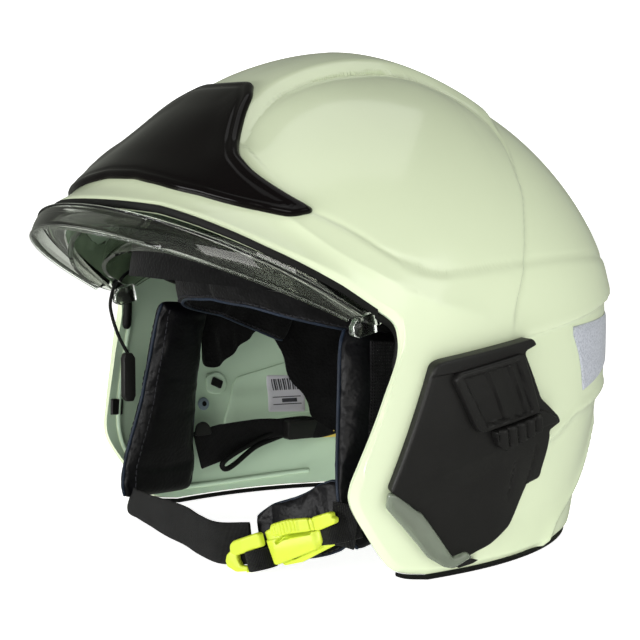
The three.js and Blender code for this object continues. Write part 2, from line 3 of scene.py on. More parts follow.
import bmesh
import bpy
import numpy as np
from mathutils import Euler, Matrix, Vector, geometry


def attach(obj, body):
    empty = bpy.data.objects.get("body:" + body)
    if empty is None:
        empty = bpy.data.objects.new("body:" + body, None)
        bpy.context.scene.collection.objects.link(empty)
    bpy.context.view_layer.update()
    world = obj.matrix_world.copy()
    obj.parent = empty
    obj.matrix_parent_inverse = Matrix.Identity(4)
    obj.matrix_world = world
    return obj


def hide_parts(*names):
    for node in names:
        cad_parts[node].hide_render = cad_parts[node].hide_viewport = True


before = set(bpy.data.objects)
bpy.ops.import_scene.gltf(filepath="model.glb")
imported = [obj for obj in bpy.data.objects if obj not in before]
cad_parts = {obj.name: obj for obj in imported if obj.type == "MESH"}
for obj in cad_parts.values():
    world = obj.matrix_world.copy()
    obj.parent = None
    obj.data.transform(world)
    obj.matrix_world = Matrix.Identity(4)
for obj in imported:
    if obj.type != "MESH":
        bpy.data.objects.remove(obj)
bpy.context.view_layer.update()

MM = 0.001  # the shapes below are worked out in millimetres
UPRIGHT = np.array([0, 0, 1.0])
SIDES = {"left": 1, "right": -1}

# ---------------------------------------------------------------- camera, light and world


def look_from(place, azimuth, elevation, lens):
    """A camera that looks down by elevation, turned by azimuth, both in degrees."""
    data = bpy.data.cameras.new("camera")
    data.lens = lens
    data.sensor_width = 36
    camera = bpy.data.objects.new("camera", data)
    bpy.context.scene.collection.objects.link(camera)
    a, e = math.radians(azimuth), math.radians(elevation)
    forward = Vector((-math.sin(a) * math.cos(e), math.cos(a) * math.cos(e), -math.sin(e)))
    camera.location = place
    camera.rotation_euler = forward.to_track_quat("-Z", "Y").to_euler()
    camera.data.clip_start = 0.01
    bpy.context.scene.camera = camera


look_from((0.6343, -0.4909, 0.1872), 52.5, 5.65, 90.4)


def area_light(name, place, target, size, power, tint=(1, 1, 1)):
    """A rectangular light at a place, facing a target."""
    data = bpy.data.lights.new(name, "AREA")
    data.shape = "RECTANGLE"
    data.size, data.size_y = size
    data.energy = power
    data.color = tint
    lamp = bpy.data.objects.new(name, data)
    bpy.context.scene.collection.objects.link(lamp)
    lamp.location = place
    lamp.rotation_euler = (Vector(target) - Vector(place)).to_track_quat("-Z", "Y").to_euler()


area_light("key", (0.75, -1.1, 0.34), (0, 0, 0.12), (0.6, 0.6), 5.2, (1, 0.985, 0.95))
area_light("fill", (1.5, 0.3, 0.36), (0, 0, 0.1), (1.0, 0.8), 4.6, (1, 1, 0.97))
area_light("front", (-0.2, -1.1, 0.1), (0, 0, 0.12), (0.7, 0.3), 7)
area_light("above", (0.1, 0.2, 1.6), (0, 0, 0.1), (1.2, 1.2), 5)

world = bpy.data.worlds.new("studio")
bpy.context.scene.world = world
world.use_nodes = True
world.node_tree.nodes["Background"].inputs["Color"].default_value = (0.94, 0.98, 0.86, 1)
world.node_tree.nodes["Background"].inputs["Strength"].default_value = 0.24
bpy.context.scene.view_settings.view_transform = "Standard"

# ---------------------------------------------------------------- materials


class Material:
    """A node material whose colour and bump come from procedural textures in object or UV space."""

    def __init__(self, name, roughness, **sockets):
        self.material = bpy.data.materials.new(name)
        self.material.use_nodes = True
        self.tree = self.material.node_tree
        self.shader = self.tree.nodes["Principled BSDF"]
        self.coordinates = self.tree.nodes.new("ShaderNodeTexCoord")
        self.last_bump = None
        self.set(Roughness=roughness, **sockets)

    def set(self, **sockets):
        for key, value in sockets.items():
            self.shader.inputs[key.replace("_", " ")].default_value = value

    def node(self, kind, inputs=None, **settings):
        made = self.tree.nodes.new(kind)
        for key, value in settings.items():
            setattr(made, key, value)
        for key, value in (inputs or {}).items():
            if isinstance(value, bpy.types.NodeSocket):
                self.tree.links.new(value, made.inputs[key])
            else:
                made.inputs[key].default_value = value
        return made

    def noise(self, scale, detail=4.0):
        inputs = {"Vector": self.coordinates.outputs["Object"], "Scale": scale, "Detail": detail}
        return self.node("ShaderNodeTexNoise", inputs).outputs["Fac"]

    def cells(self, scale, feature="F1"):
        inputs = {"Vector": self.coordinates.outputs["Object"], "Scale": scale}
        return self.node("ShaderNodeTexVoronoi", inputs, feature=feature).outputs["Distance"]

    def waves(self, scale, direction):
        inputs = {"Vector": self.coordinates.outputs["UV"], "Scale": scale}
        return self.node("ShaderNodeTexWave", inputs, bands_direction=direction).outputs["Fac"]

    def combine(self, operation, first, second):
        return self.node("ShaderNodeMath", {0: first, 1: second}, operation=operation).outputs[0]

    def ramp(self, value, *stops):
        made = self.node("ShaderNodeValToRGB", {"Fac": value})
        for index, (place, color) in enumerate(stops):
            element = made.color_ramp.elements[index] if index < 2 else made.color_ramp.elements.new(place)
            element.position = place
            element.color = (*color, 1)
        return made.outputs["Color"]

    def color(self, value, *stops):
        self.tree.links.new(self.ramp(value, *stops), self.shader.inputs["Base Color"])
        return self

    def vary_roughness(self, value, low, high):
        inputs = {"Value": value, "To Min": low, "To Max": high}
        made = self.node("ShaderNodeMapRange", inputs)
        self.tree.links.new(made.outputs["Result"], self.shader.inputs["Roughness"])
        return self

    def bump(self, height, strength, distance):
        inputs = {"Height": height, "Strength": strength, "Distance": distance}
        if self.last_bump is not None:
            inputs["Normal"] = self.last_bump
        self.last_bump = self.node("ShaderNodeBump", inputs).outputs["Normal"]
        self.tree.links.new(self.last_bump, self.shader.inputs["Normal"])
        return self


def shades(color, spread):
    """A darker and a lighter stop for a ramp round a colour."""
    darker = tuple(c * (1 - spread) for c in color)
    lighter = tuple(min(1, c * (1 + spread)) for c in color)
    return (0.3, darker), (0.7, lighter)


def painted_shell():
    """Luminous cream paint, with the moulding's greener colour on surfaces that face the inside."""
    m = Material("shell_paint", 0.2, Coat_Weight=0.35, Coat_Roughness=0.06, Specular_IOR_Level=0.4)
    position, normal = m.coordinates.outputs["Object"], m.coordinates.outputs["Normal"]
    middle = (0, 0, 0.09)
    ray = m.node("ShaderNodeVectorMath", {0: position, 1: middle}, operation="SUBTRACT").outputs["Vector"]
    outward = m.node("ShaderNodeVectorMath", {0: ray, 1: normal}, operation="DOT_PRODUCT").outputs["Value"]
    outward = m.combine("ADD", m.combine("MULTIPLY", outward, 16.0), 0.6)
    tone = m.combine("ADD", outward, m.combine("MULTIPLY", m.noise(9, 3), 0.04))
    m.color(tone, (0.1, (0.57, 0.745, 0.56)), (0.9, (0.705, 0.785, 0.56)))
    m.vary_roughness(m.noise(60, 5), 0.17, 0.24)
    return m.bump(m.noise(420, 2), 0.05, 0.0002).material


def moulded(name, color, roughness, grain=900, depth=0.25, spread=0.12, shine=0.4):
    """Plastic with a fine moulded grain."""
    m = Material(name, roughness, Specular_IOR_Level=shine)
    m.color(m.noise(40, 4), *shades(color, spread))
    m.vary_roughness(m.noise(120, 4), roughness - 0.05, roughness + 0.06)
    return m.bump(m.cells(grain), depth, 0.00012).material


def leather(name, color):
    m = Material(name, 0.42, Specular_IOR_Level=0.2, Sheen_Weight=0.01, Sheen_Roughness=0.4)
    m.color(m.noise(70, 5), *shades(color, 0.35))
    m.vary_roughness(m.noise(45, 5), 0.34, 0.55)
    m.bump(m.noise(38, 3), 0.5, 0.0012)
    return m.bump(m.cells(620, "SMOOTH_F1"), 0.35, 0.0005).material


def webbing(name, color, ribs=520):
    """Woven strap material, ribbed across and along its UVs."""
    m = Material(name, 0.85, Specular_IOR_Level=0.15, Sheen_Weight=0.06, Sheen_Roughness=0.5)
    weave = m.combine("MULTIPLY", m.waves(ribs, "X"), m.waves(ribs * 0.8, "Y"))
    m.color(m.combine("ADD", m.noise(220, 3), m.combine("MULTIPLY", weave, 0.25)), *shades(color, 0.5))
    return m.bump(weave, 0.8, 0.0006).material


def cloth(name, color):
    m = Material(name, 0.9, Specular_IOR_Level=0.12, Sheen_Weight=0.05, Sheen_Roughness=0.5)
    m.color(m.noise(90, 4), *shades(color, 0.4))
    return m.bump(m.cells(700, "SMOOTH_F1"), 0.6, 0.0006).material


def clear_plastic(name, tint, roughness=0.03):
    m = Material(name, roughness, Transmission_Weight=1.0, IOR=1.45, Specular_IOR_Level=0.5)
    m.color(m.noise(30, 2), *shades(tint, 0.03))
    return m.bump(m.noise(14, 2), 0.03, 0.0006).material


def frosted_lens():
    m = Material("lens_clear", 0.22, Transmission_Weight=0.55, IOR=1.45)
    m.set(Coat_Weight=0.6, Coat_Roughness=0.05)
    m.color(m.noise(55, 3), *shades((0.33, 0.38, 0.30), 0.08))
    return m.bump(m.noise(90, 3), 0.3, 0.0008).material


def speckled_strip():
    m = Material("reflective_film", 0.38, Specular_IOR_Level=0.6, Coat_Weight=0.3, Coat_Roughness=0.25)
    m.color(m.cells(900), (0.15, (0.36, 0.38, 0.46)), (0.62, (0.56, 0.58, 0.66)))
    return m.bump(m.cells(700), 0.4, 0.0004).material


def rubber(name, color, roughness=0.6):
    m = Material(name, roughness, Specular_IOR_Level=0.2)
    m.color(m.noise(60, 4), *shades(color, 0.3))
    return m.bump(m.noise(800, 2), 0.2, 0.0002).material


SHELL_PAINT = painted_shell()
GLOSS_BLACK = moulded("gloss_black", (0.0035, 0.0026, 0.0028), 0.11, 500, 0.02, shine=0.09)
BLACK_PLASTIC = moulded("black_plastic", (0.0105, 0.0100, 0.0098), 0.42, 1500, 0.3, shine=0.3)
BLACK_LEATHER = leather("black_leather", (0.0024, 0.0022, 0.0033))
PIPING = leather("navy_piping", (0.012, 0.019, 0.034))
BLACK_WEBBING = webbing("black_webbing", (0.0042, 0.0042, 0.0045))
MESH_TEXTILE = webbing("mesh_textile", (0.0055, 0.0052, 0.0060), 260)
LINER_CLOTH = cloth("liner_cloth", (0.0040, 0.0040, 0.0042))
CLEAR = clear_plastic("clear_visor", (0.66, 0.68, 0.63))
SMOKE = clear_plastic("smoked_band", (0.36, 0.38, 0.34))
CLEAR_EDGE = clear_plastic("clear_edge", (0.8, 0.84, 0.78), 0.12)
LENS = frosted_lens()
BUCKLE_YELLOW = moulded("buckle_yellow", (0.60, 0.71, 0.05), 0.36, 1100, 0.12, 0.05)
AMBER = moulded("amber_plastic", (0.62, 0.47, 0.08), 0.4)
STRIP = speckled_strip()
RUBBER = rubber("black_rubber", (0.0048, 0.0050, 0.0048))
LABEL = moulded("label_paper", (0.62, 0.62, 0.66), 0.6, 300, 0.05, 0.03)
GREY_BARS = moulded("label_bars", (0.05, 0.05, 0.06), 0.6)
THREAD = rubber("thread", (0.02, 0.02, 0.024), 0.7)
RIVET = moulded("rivet_grey", (0.28, 0.36, 0.42), 0.3)

# ---------------------------------------------------------------- building pieces


def paint(obj, material):
    obj.data.materials.clear()
    obj.data.materials.append(material)


def piece(name, vertices, faces, material, body="helmet", replaces=(), slot=None, smooth=True, angle=None):
    """A mesh piece from vertices in millimetres, riding on a body."""
    mesh = bpy.data.meshes.new(name)
    mesh.from_pydata((np.asarray(vertices, float) * MM).tolist(), [], [tuple(map(int, f)) for f in faces])
    mesh.validate()
    obj = bpy.data.objects.new(name, mesh)
    bpy.context.scene.collection.objects.link(obj)
    paint(obj, material)
    mesh.shade_smooth() if smooth else mesh.shade_flat()
    if smooth and angle:
        mesh.set_sharp_from_angle(angle=math.radians(angle))
    face_outwards(mesh)
    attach(obj, body)
    if replaces:
        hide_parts(*replaces)
    return obj


def face_outwards(mesh):
    """Turns the faces so that their normals point out of the solid."""
    bm = bmesh.new()
    bm.from_mesh(mesh)
    bmesh.ops.recalc_face_normals(bm, faces=bm.faces)
    bm.to_mesh(mesh)
    bm.free()


def modify(obj, kind, **settings):
    """Adds a modifier and applies it to the mesh."""
    modifier = obj.modifiers.new(kind.lower(), kind)
    for key, value in settings.items():
        setattr(modifier, key, value)
    graph = bpy.context.evaluated_depsgraph_get()
    mesh = bpy.data.meshes.new_from_object(obj.evaluated_get(graph))
    obj.modifiers.clear()
    old, obj.data = obj.data, mesh
    bpy.data.meshes.remove(old)


def grid_faces(rows, columns, offset=0, wrap=False, flip=False):
    """Quads between the rows of a grid of points, the first of which has the index offset."""
    across = columns if wrap else columns - 1
    r, c = np.meshgrid(np.arange(rows - 1), np.arange(across), indexing="ij")
    r, c = r.ravel(), c.ravel()
    n = (c + 1) % columns
    near, far = r * columns + offset, (r + 1) * columns + offset
    quads = np.stack([near + c, far + c, far + n, near + n], 1)
    return quads[:, ::-1] if flip else quads


def fan_closed(count, around):
    """Faces of a stack of rings whose ends close on two more points, the last ones."""
    faces = list(grid_faces(count, around, 0, True))
    last = (count - 1) * around
    for c in range(around):
        n = (c + 1) % around
        faces.append((c, n, count * around))
        faces.append((last + n, last + c, count * around + 1))
    return faces


def flat_closed(count, around):
    """Faces of a stack of rings with a flat face over each end."""
    last = (count - 1) * around
    ends = [tuple(range(around)), tuple(range(last + around - 1, last - 1, -1))]
    return [*grid_faces(count, around, 0, True), *ends]


def slab(outside, inside):
    """A closed sheet with thickness between two grids of points."""
    rows, columns = outside.shape[:2]
    count = rows * columns
    vertices = np.concatenate([outside.reshape(-1, 3), inside.reshape(-1, 3)])
    faces = [*grid_faces(rows, columns), *grid_faces(rows, columns, count, flip=True)]
    rim = [*[(0, c) for c in range(columns)], *[(r, columns - 1) for r in range(1, rows)]]
    rim += [*[(rows - 1, c) for c in range(columns - 2, -1, -1)], *[(r, 0) for r in range(rows - 2, 0, -1)]]
    ids = [r * columns + c for r, c in rim]
    faces += [(a, b, b + count, a + count) for a, b in zip(ids, ids[1:] + ids[:1])]
    return vertices, faces


def smooth_line(points, count):
    """Catmull-Rom curve through points, evenly spaced."""
    p = np.asarray(points, float)
    p = np.vstack([2 * p[0] - p[1], p, 2 * p[-1] - p[-2]])
    t = np.linspace(0, 1, 24, endpoint=False)[:, None]
    parts = []
    for a, b, c, d in zip(p, p[1:], p[2:], p[3:]):
        curve = 2 * b + (c - a) * t + (2 * a - 5 * b + 4 * c - d) * t**2 + (3 * b - a - 3 * c + d) * t**3
        parts.append(0.5 * curve)
    line = np.vstack([*parts, p[-2][None]])
    return spaced(line, count)


def distance_along(line):
    return np.concatenate([[0], np.cumsum(np.linalg.norm(np.diff(line, axis=0), axis=1))])


def spaced(line, count):
    """Points at even distances along a line."""
    length = distance_along(line)
    at = np.linspace(0, length[-1], count)
    return np.stack([np.interp(at, length, line[:, k]) for k in range(line.shape[1])], 1)


def unit(v):
    return v / np.maximum(np.linalg.norm(v, axis=-1, keepdims=True), 1e-9)


def ease(t):
    """A smooth step from 0 to 1."""
    t = np.clip(t, 0, 1)
    return t * t * (3 - 2 * t)


# ---------------------------------------------------------------- the dome


class Dome:
    """Dimensions of a dome: superelliptic in plan and in profile, with a skirt that tapers."""

    def __init__(self, crown, half, front, rear, drops, taper, flare=0.0):
        self.crown, self.half, self.front, self.rear = crown, half, front, rear
        self.drops, self.taper, self.flare = drops, taper, flare


EQUATOR = 119.0
CROWN_SHIFT = 1.7
SHELL = Dome(240.5, 124.5, 152.5, 155, (1.58, 1.98, 1.5), 0.149, 8)
LINER = Dome(216, 92.5, 98, 146, (2.2, 2.2, 1.8), 0.1)
LINER_INSIDE = Dome(203, 83, 90, 118, (2.2, 2.2, 1.8), 0.1)
BRIM = np.array(
    [(-260, 174), (-137, 171), (-127, 168), (-117, 160.5), (-105, 152), (-91, 143.5), (-77, 135),
    (-62, 124.5)]
)
BOTTOM = 2.4
WALL = 4.0


def brim_height(y):
    return np.interp(y, BRIM[:, 0], BRIM[:, 1])


def dome(azimuth, depth, grow=0.0, size=SHELL):
    """Points on a dome. depth runs from 0 at the crown to 1 at the equator and 2 at the bottom edge."""
    c, s = np.cos(azimuth), np.sin(azimuth)
    front = s < 0
    reach = np.where(front, size.front, size.rear) + grow
    power = np.where(front, 2.18, 2.0)
    plan = (np.abs(c / (size.half + grow)) ** power + np.abs(s / reach) ** power) ** (-1 / power)
    drop = np.where(front, size.drops[0], size.drops[2]) * s**2 + size.drops[1] * c**2
    angle = np.clip(depth, 1e-4, 1) * np.pi / 2
    k = (np.sin(angle) ** drop + np.cos(angle) ** drop) ** (-1 / drop)
    low = np.clip(depth - 1, 0, None)
    upper = depth < 1
    radius = np.where(upper, plan * k * np.sin(angle), plan * (1 - size.taper * low**2))
    z = np.where(upper, EQUATOR + (size.crown + grow - EQUATOR) * k * np.cos(angle), EQUATOR * (2 - depth))
    y = CROWN_SHIFT * (1 - np.minimum(depth, 1)) + radius * s
    x = radius * c
    if size.flare:
        height = np.maximum(0, z - brim_height(y))
        push = np.where(front, size.flare * np.exp(-((height / 9) ** 2)) * ease((-y - 60) / 50), 0)
        x, y = x + push * c, y + push * s
    return np.stack([x, y, z], -1)


def dome_normal(azimuth, depth, grow=0.0, size=SHELL):
    """Outward normals of a dome."""
    e = 1e-3
    depth = np.maximum(depth, 2e-3)
    across = dome(azimuth + e, depth, grow, size) - dome(azimuth - e, depth, grow, size)
    down = dome(azimuth, depth + e, grow, size) - dome(azimuth, depth - e, grow, size)
    return unit(np.cross(down, across))


def on_dome(targets, rows=(0, 1, 2)):
    """Azimuths and depths of the plain shell's points that match targets in the given coordinates."""
    targets = np.atleast_2d(np.asarray(targets, float))
    x = targets[:, 0] if 0 in rows else np.full(len(targets), 90.0)
    y = targets[:, 1] if 1 in rows else np.full(len(targets), -90.0)
    azimuth = np.arctan2(y, np.where(np.abs(x) < 1e-6, 1e-6, x))
    azimuth = np.clip(azimuth, -1.55, 1.55) if 0 not in rows else azimuth
    z = targets[:, 2]
    depth = np.where(
        z < EQUATOR, 2 - z / EQUATOR, np.arccos(np.clip((z - EQUATOR) / 121.5, 0, 0.999)) / (np.pi / 2)
    )
    for _ in range(30):
        here = dome(azimuth, depth)
        e = 1e-4
        by_azimuth = (dome(azimuth + e, depth) - here)[:, rows] / e
        by_depth = (dome(azimuth, depth + e) - here)[:, rows] / e
        miss = (targets - here)[:, rows]
        a, b, c = (by_azimuth**2).sum(1), (by_azimuth * by_depth).sum(1), (by_depth**2).sum(1)
        p, q = (by_azimuth * miss).sum(1), (by_depth * miss).sum(1)
        det = a * c - b * b + 1e-6
        azimuth = azimuth + np.clip((c * p - b * q) / det, -0.15, 0.15)
        depth = np.clip(depth + np.clip((a * q - b * p) / det, -0.1, 0.1), 1e-3, 2.1)
    return azimuth, depth


def depth_where(azimuth, above, low, high, steps, grow=0.0, size=SHELL):
    """The depth at which a dome, followed down at each azimuth, leaves the space that above marks."""
    low, high = np.full(len(azimuth), low), np.full(len(azimuth), high)
    for _ in range(steps):
        middle = (low + high) / 2
        is_above = above(dome(azimuth, middle, grow, size))
        low, high = np.where(is_above, middle, low), np.where(is_above, high, middle)
    return low


def on_surface(points, count=80):
    """A smooth line on the dome through points on the wearer's left."""
    line = smooth_line(points, count)
    return dome(*on_dome(line))


def distance_to(points, line):
    """Distance from each point to a polyline, in batches."""
    flat = points.reshape(-1, points.shape[-1])
    a, d = line[:-1], np.diff(line, axis=0)
    square = np.maximum((d * d).sum(1), 1e-9)
    out = np.empty(len(flat))
    for start in range(0, len(flat), 8000):
        p = flat[start : start + 8000, None, :]
        t = np.clip(((p - a) * d).sum(-1) / square, 0, 1)
        out[start : start + 8000] = np.linalg.norm(p - (a + t[..., None] * d), axis=-1).min(1)
    return out.reshape(points.shape[:-1])


def inside_outline(points, outline):
    """Whether 2-D points lie inside a closed outline."""
    u, v = points[..., 0], points[..., 1]
    inside = np.zeros(u.shape, bool)
    for (u0, v0), (u1, v1) in zip(outline, np.roll(outline, -1, 0)):
        crosses = (v0 > v) != (v1 > v)
        inside ^= crosses & (u < (u1 - u0) * (v - v0) / (v1 - v0 + 1e-12) + u0)
    return inside


# Lines of the shell's relief, as x, y and z on the wearer's left.
CREST = on_surface(
    [(50, -86, 197.6), (42, -74, 208.3), (36, -55.6, 220.2), (36.3, -41, 226.5), (38.6, -28, 230.2),
    (41.2, -14.6, 232.2), (43.5, 2, 233), (47, 17, 230.5), (53, 28, 225.5), (62, 36, 217.5),
    (73, 40.5, 208.8), (83, 41, 200)]
)
REAR = on_surface(
    [(0, 60, 228), (32, 57, 225), (62, 50, 214), (83, 41, 200), (100, 34, 185), (108, 31, 173),
    (115, 25, 159), (121, 19, 142), (124, 11, 122), (124, 9, 108)]
)
BELT = on_surface(
    [
        (93, -81, 166), (106, -67, 157), (113, -55, 148), (118, -45, 143), (121, -30, 139.5),
        (122, -1, 141), (121, 18, 142), (116, 46, 143), (104, 77, 142), (81, 112, 139), (40, 141, 137),
        (1, 150, 136)
    ],
    160
)
BROW = on_surface(
    [(92, -90, 163), (104, -76, 149), (115, -58, 138), (120, -44, 131), (123, -28, 125), (124, -10, 121)]
)
NECK = on_surface(
    [(74, 116, 55), (80, 104, 38), (87.6, 88.4, 26), (93, 78, 21), (97.4, 65, 14), (95.5, 57, 2)]
)
FOLD = on_surface(
    [
        (117, 36, 62), (114.8, 45, 63), (110, 63, 71), (105, 76, 73), (83, 113, 77), (40, 140, 79),
        (1, 151, 80)
    ],
    100
)


def lobe_outline():
    """The side lobe, as a closed outline of azimuth and depth."""
    belt = BELT[BELT[:, 1] < 20][::-1]
    rear = REAR[(REAR[:, 2] > 141) & (REAR[:, 2] < 200)]
    return np.stack(on_dome(np.vstack([CREST, rear, belt])), 1)


LOBE = lobe_outline()


def relief(points, angles):
    """How far the shell stands out from the plain dome at points on it. angles are azimuth and depth."""
    p = points.copy()
    p[..., 0] = np.abs(p[..., 0])
    y, z = p[..., 1], p[..., 2]
    azimuth = np.arctan2(np.sin(angles[..., 0]), np.abs(np.cos(angles[..., 0])))
    in_lobe = inside_outline(np.stack([azimuth, angles[..., 1]], -1), LOBE)
    to_crest, to_rear = np.hypot(distance_to(p, CREST), 1.8), distance_to(p, REAR)
    to_belt, to_brow = distance_to(p, BELT), distance_to(p, BROW)
    step = np.interp(y, (-90, -50, -14, 20, 45), (1.0, 4.5, 5.6, 5.2, 2.5))
    ahead = y < np.interp(z, REAR[::-1, 2], REAR[::-1, 1])
    behind = ease((np.where(ahead, -to_rear, to_rear) + 1.6) / 3.2)
    slope = step * (0.45 * np.exp(-to_crest / 9) + 0.55 * np.exp(-to_crest / 32))
    wall = step * np.clip(1 - to_crest / 10, 0, 1) ** 2 * (1 - behind)
    height = -np.where(in_lobe, slope, wall)
    rear_step = 2.3 * behind * np.exp(-np.where(ahead, 0, to_rear) / 22) + 0.35 * np.exp(-to_rear / 5)
    height -= rear_step * ease((z - 104) / 22)
    below_belt = z < np.interp(y, BELT[:, 1], BELT[:, 2])
    under = np.where(below_belt, to_belt, -to_belt)
    fade = np.exp(-np.maximum(under, 0) / 22)
    height += 0.5 * ease((under + 1.3) / 2.6) * fade - 0.6 * np.exp(-((to_belt / 1.7) ** 2))
    height -= 2.2 * np.exp(-(((p[..., 0] - 42) / 24) ** 2) - ((z - 199) / 15) ** 2) * ease((-30 - y) / 25)
    height += 1.7 * np.exp(-to_brow / 9) * ease((-y + 5) / 40)
    fold_z = np.interp(y, FOLD[:, 1], FOLD[:, 2])
    back = ease((y - 8) / 12)
    ledge_z = 108.3 + 0.114 * (y - 16)
    up = np.clip((z - fold_z) / (ledge_z - fold_z), 0, 1)
    height -= 2.7 * up * (1 - ease((z - ledge_z + 1.5) / 3)) * back
    height += 0.5 * np.exp(-(((z - ledge_z - 3) / 4) ** 2)) * back
    under_fold = ease((fold_z - z) / 12) * ease((z - 4) / 20) * back
    height += 1.1 * np.exp(-(((z - fold_z + 2) / 3) ** 2)) * back - 2.2 * under_fold
    to_neck = distance_to(p, NECK)
    height += 2.2 * np.exp(-to_neck / 5) * ease((y - 45) / 15)
    return height


def shell_point(azimuth, depth, grow=0.0):
    """The finished outside of the shell, moved outwards by grow."""
    base = dome(azimuth, depth)
    lift = relief(base, np.stack([azimuth, depth], -1)) + grow
    return base + dome_normal(azimuth, depth) * lift[..., None]


EDGE_SIDE = np.array(
    [(-62, 124.5), (-55, 119.5), (-52, 113), (-52, 103), (-57, 87), (-62, 70), (-66, 57), (-68.6, 47),
    (-67.5, 39), (-60, 27), (-47, 10.5), (-38, 5), (-24, BOTTOM)]
)


def shell_edge(columns):
    """Azimuth and depth along the shell's free edge, from mid brim to mid nape."""
    azimuth = np.linspace(-np.pi / 2, np.radians(-29.5), 160)
    low = depth_where(azimuth, lambda p: p[:, 2] > brim_height(p[:, 1]), 0.3, 1.2, 40)
    brim = np.stack([azimuth, low], 1)
    side = smooth_line([dome(azimuth[-1], low[-1])[1:], *EDGE_SIDE[1:]], 150)
    side_angles = np.stack(on_dome(np.column_stack([side[:, 0] * 0, side]), (1, 2)), 1)
    bottom_depth = 2 - BOTTOM / EQUATOR
    start = side_angles[-1, 0]
    bottom = np.stack([np.linspace(start, np.pi / 2, 160), np.full(160, bottom_depth)], 1)
    line = np.vstack([brim, side_angles[1:], bottom[1:]])
    at_pole = np.interp(
        np.arange(len(line)),
        [0, 159, 159 + 18, 159 + 30, 159 + 60, 159 + 95, 159 + 120, 159 + 149, len(line) - 1],
        np.radians([-90, -27, -18, -12, -3, 3, 9, 20, 90]),
    )
    p = dome(line[:, 0], line[:, 1])
    length = distance_along(p)
    at = np.linspace(0, length[-1], columns)
    return [np.interp(at, length, v) for v in (line[:, 0], line[:, 1], at_pole)]


def build_shell():
    columns, rows, inner_rows = ((330, 210, 36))
    edge_azimuth, edge_depth, pole_azimuth = shell_edge(columns)

    def half(count):
        v = np.linspace(0, 1, count)[:, None] ** 1.12 * 0.996
        azimuth = edge_azimuth + (pole_azimuth - edge_azimuth) * (1 - (1 - v) ** 1.5)
        return azimuth, edge_depth * (1 - v)

    azimuth, depth = half(rows)
    base = dome(azimuth, depth)
    height = relief(base, np.stack([azimuth, depth], -1))
    rim = dome(edge_azimuth, edge_depth)
    bevel = np.zeros_like(height)
    near = 14
    bevel[:near] = -1.9 * np.clip(1 - distance_to(base[:near], rim) / 3.6, 0, 1)
    outer = base + dome_normal(azimuth, depth) * (height + bevel)[..., None]
    inner_azimuth, inner_depth = half(inner_rows)
    inner = dome(inner_azimuth, inner_depth)
    sunk = relief(inner, np.stack([inner_azimuth, inner_depth], -1))
    inner = inner + dome_normal(inner_azimuth, inner_depth) * (np.minimum(sunk, 0) - WALL)[..., None]

    def whole(grid):
        mirrored = grid[:, -2:0:-1].copy()
        mirrored[..., 0] *= -1
        return np.concatenate([grid, mirrored], 1)

    outer, inner = whole(outer), whole(inner)
    outer[:, [0, columns - 1], 0] = 0
    inner[:, [0, columns - 1], 0] = 0
    around = outer.shape[1]
    vertices = np.concatenate(
        [outer.reshape(-1, 3), [[0, CROWN_SHIFT, outer[-1, :, 2].max()]], inner.reshape(-1, 3),
        [[0, CROWN_SHIFT, inner[-1, :, 2].max()]]]
    )
    top = rows * around
    start = top + 1
    inner_top = start + inner_rows * around
    faces = [*grid_faces(rows, around, 0, True, True), *grid_faces(inner_rows, around, start, True)]
    for c in range(around):
        n = (c + 1) % around
        faces.append((top - around + c, top, top - around + n)[::-1])
        faces.append((inner_top - around + c, inner_top, inner_top - around + n))
        faces.append((c, n, start + n, start + c))
    piece("shell", vertices, faces, SHELL_PAINT, replaces=["outer_shell"], slot="shell", angle=50)


build_shell()

# ---------------------------------------------------------------- general shapes


def rounded(outline, radius, step=1.0):
    """A closed outline with rounded corners, sampled about every step."""
    p = np.asarray(outline, float)
    points = []
    for before, here, after in zip(np.roll(p, 1, 0), p, np.roll(p, -1, 0)):
        room = min(radius, 0.45 * np.linalg.norm(before - here), 0.45 * np.linalg.norm(after - here))
        start = here + (before - here) / np.linalg.norm(before - here) * room
        end = here + (after - here) / np.linalg.norm(after - here) * room
        for t in np.linspace(0, 1, 5):
            points.append((1 - t) ** 2 * start + 2 * t * (1 - t) * here + t * t * end)
    dense = []
    for a, b in zip(points, points[1:] + points[:1]):
        count = max(1, int(np.linalg.norm(b - a) / step))
        dense += [a + (b - a) * i / count for i in range(count)]
    return np.array(dense)


def to_outline(points, outline):
    """Distance from each point to a closed outline."""
    return distance_to(points, np.vstack([outline, outline[:1]]))


def side_skin(points):
    """Points and normals on the plain dome, on the wearer's left, for points of y and z."""
    targets = np.column_stack([np.zeros(len(points)), points])
    azimuth, depth = on_dome(targets, (1, 2))
    return dome(azimuth, depth), dome_normal(azimuth, depth)


def front_skin(points):
    """Points and normals on the finished shell for points of x and z seen from the front."""
    targets = np.column_stack([np.abs(points[:, 0]), np.zeros(len(points)), points[:, 1]])
    azimuth, depth = on_dome(targets, (0, 2))
    place, normal = shell_point(azimuth, depth), dome_normal(azimuth, depth)
    flip = np.where(points[:, :1] < 0, -1, 1) * np.array([[1, 0, 0]]) + np.array([[0, 1, 1]])
    return place * flip, normal * flip


def flat_skin(points):
    """Points and normals on a plane."""
    return np.column_stack([points, np.zeros(len(points))]), np.tile([0.0, 0, 1], (len(points), 1))


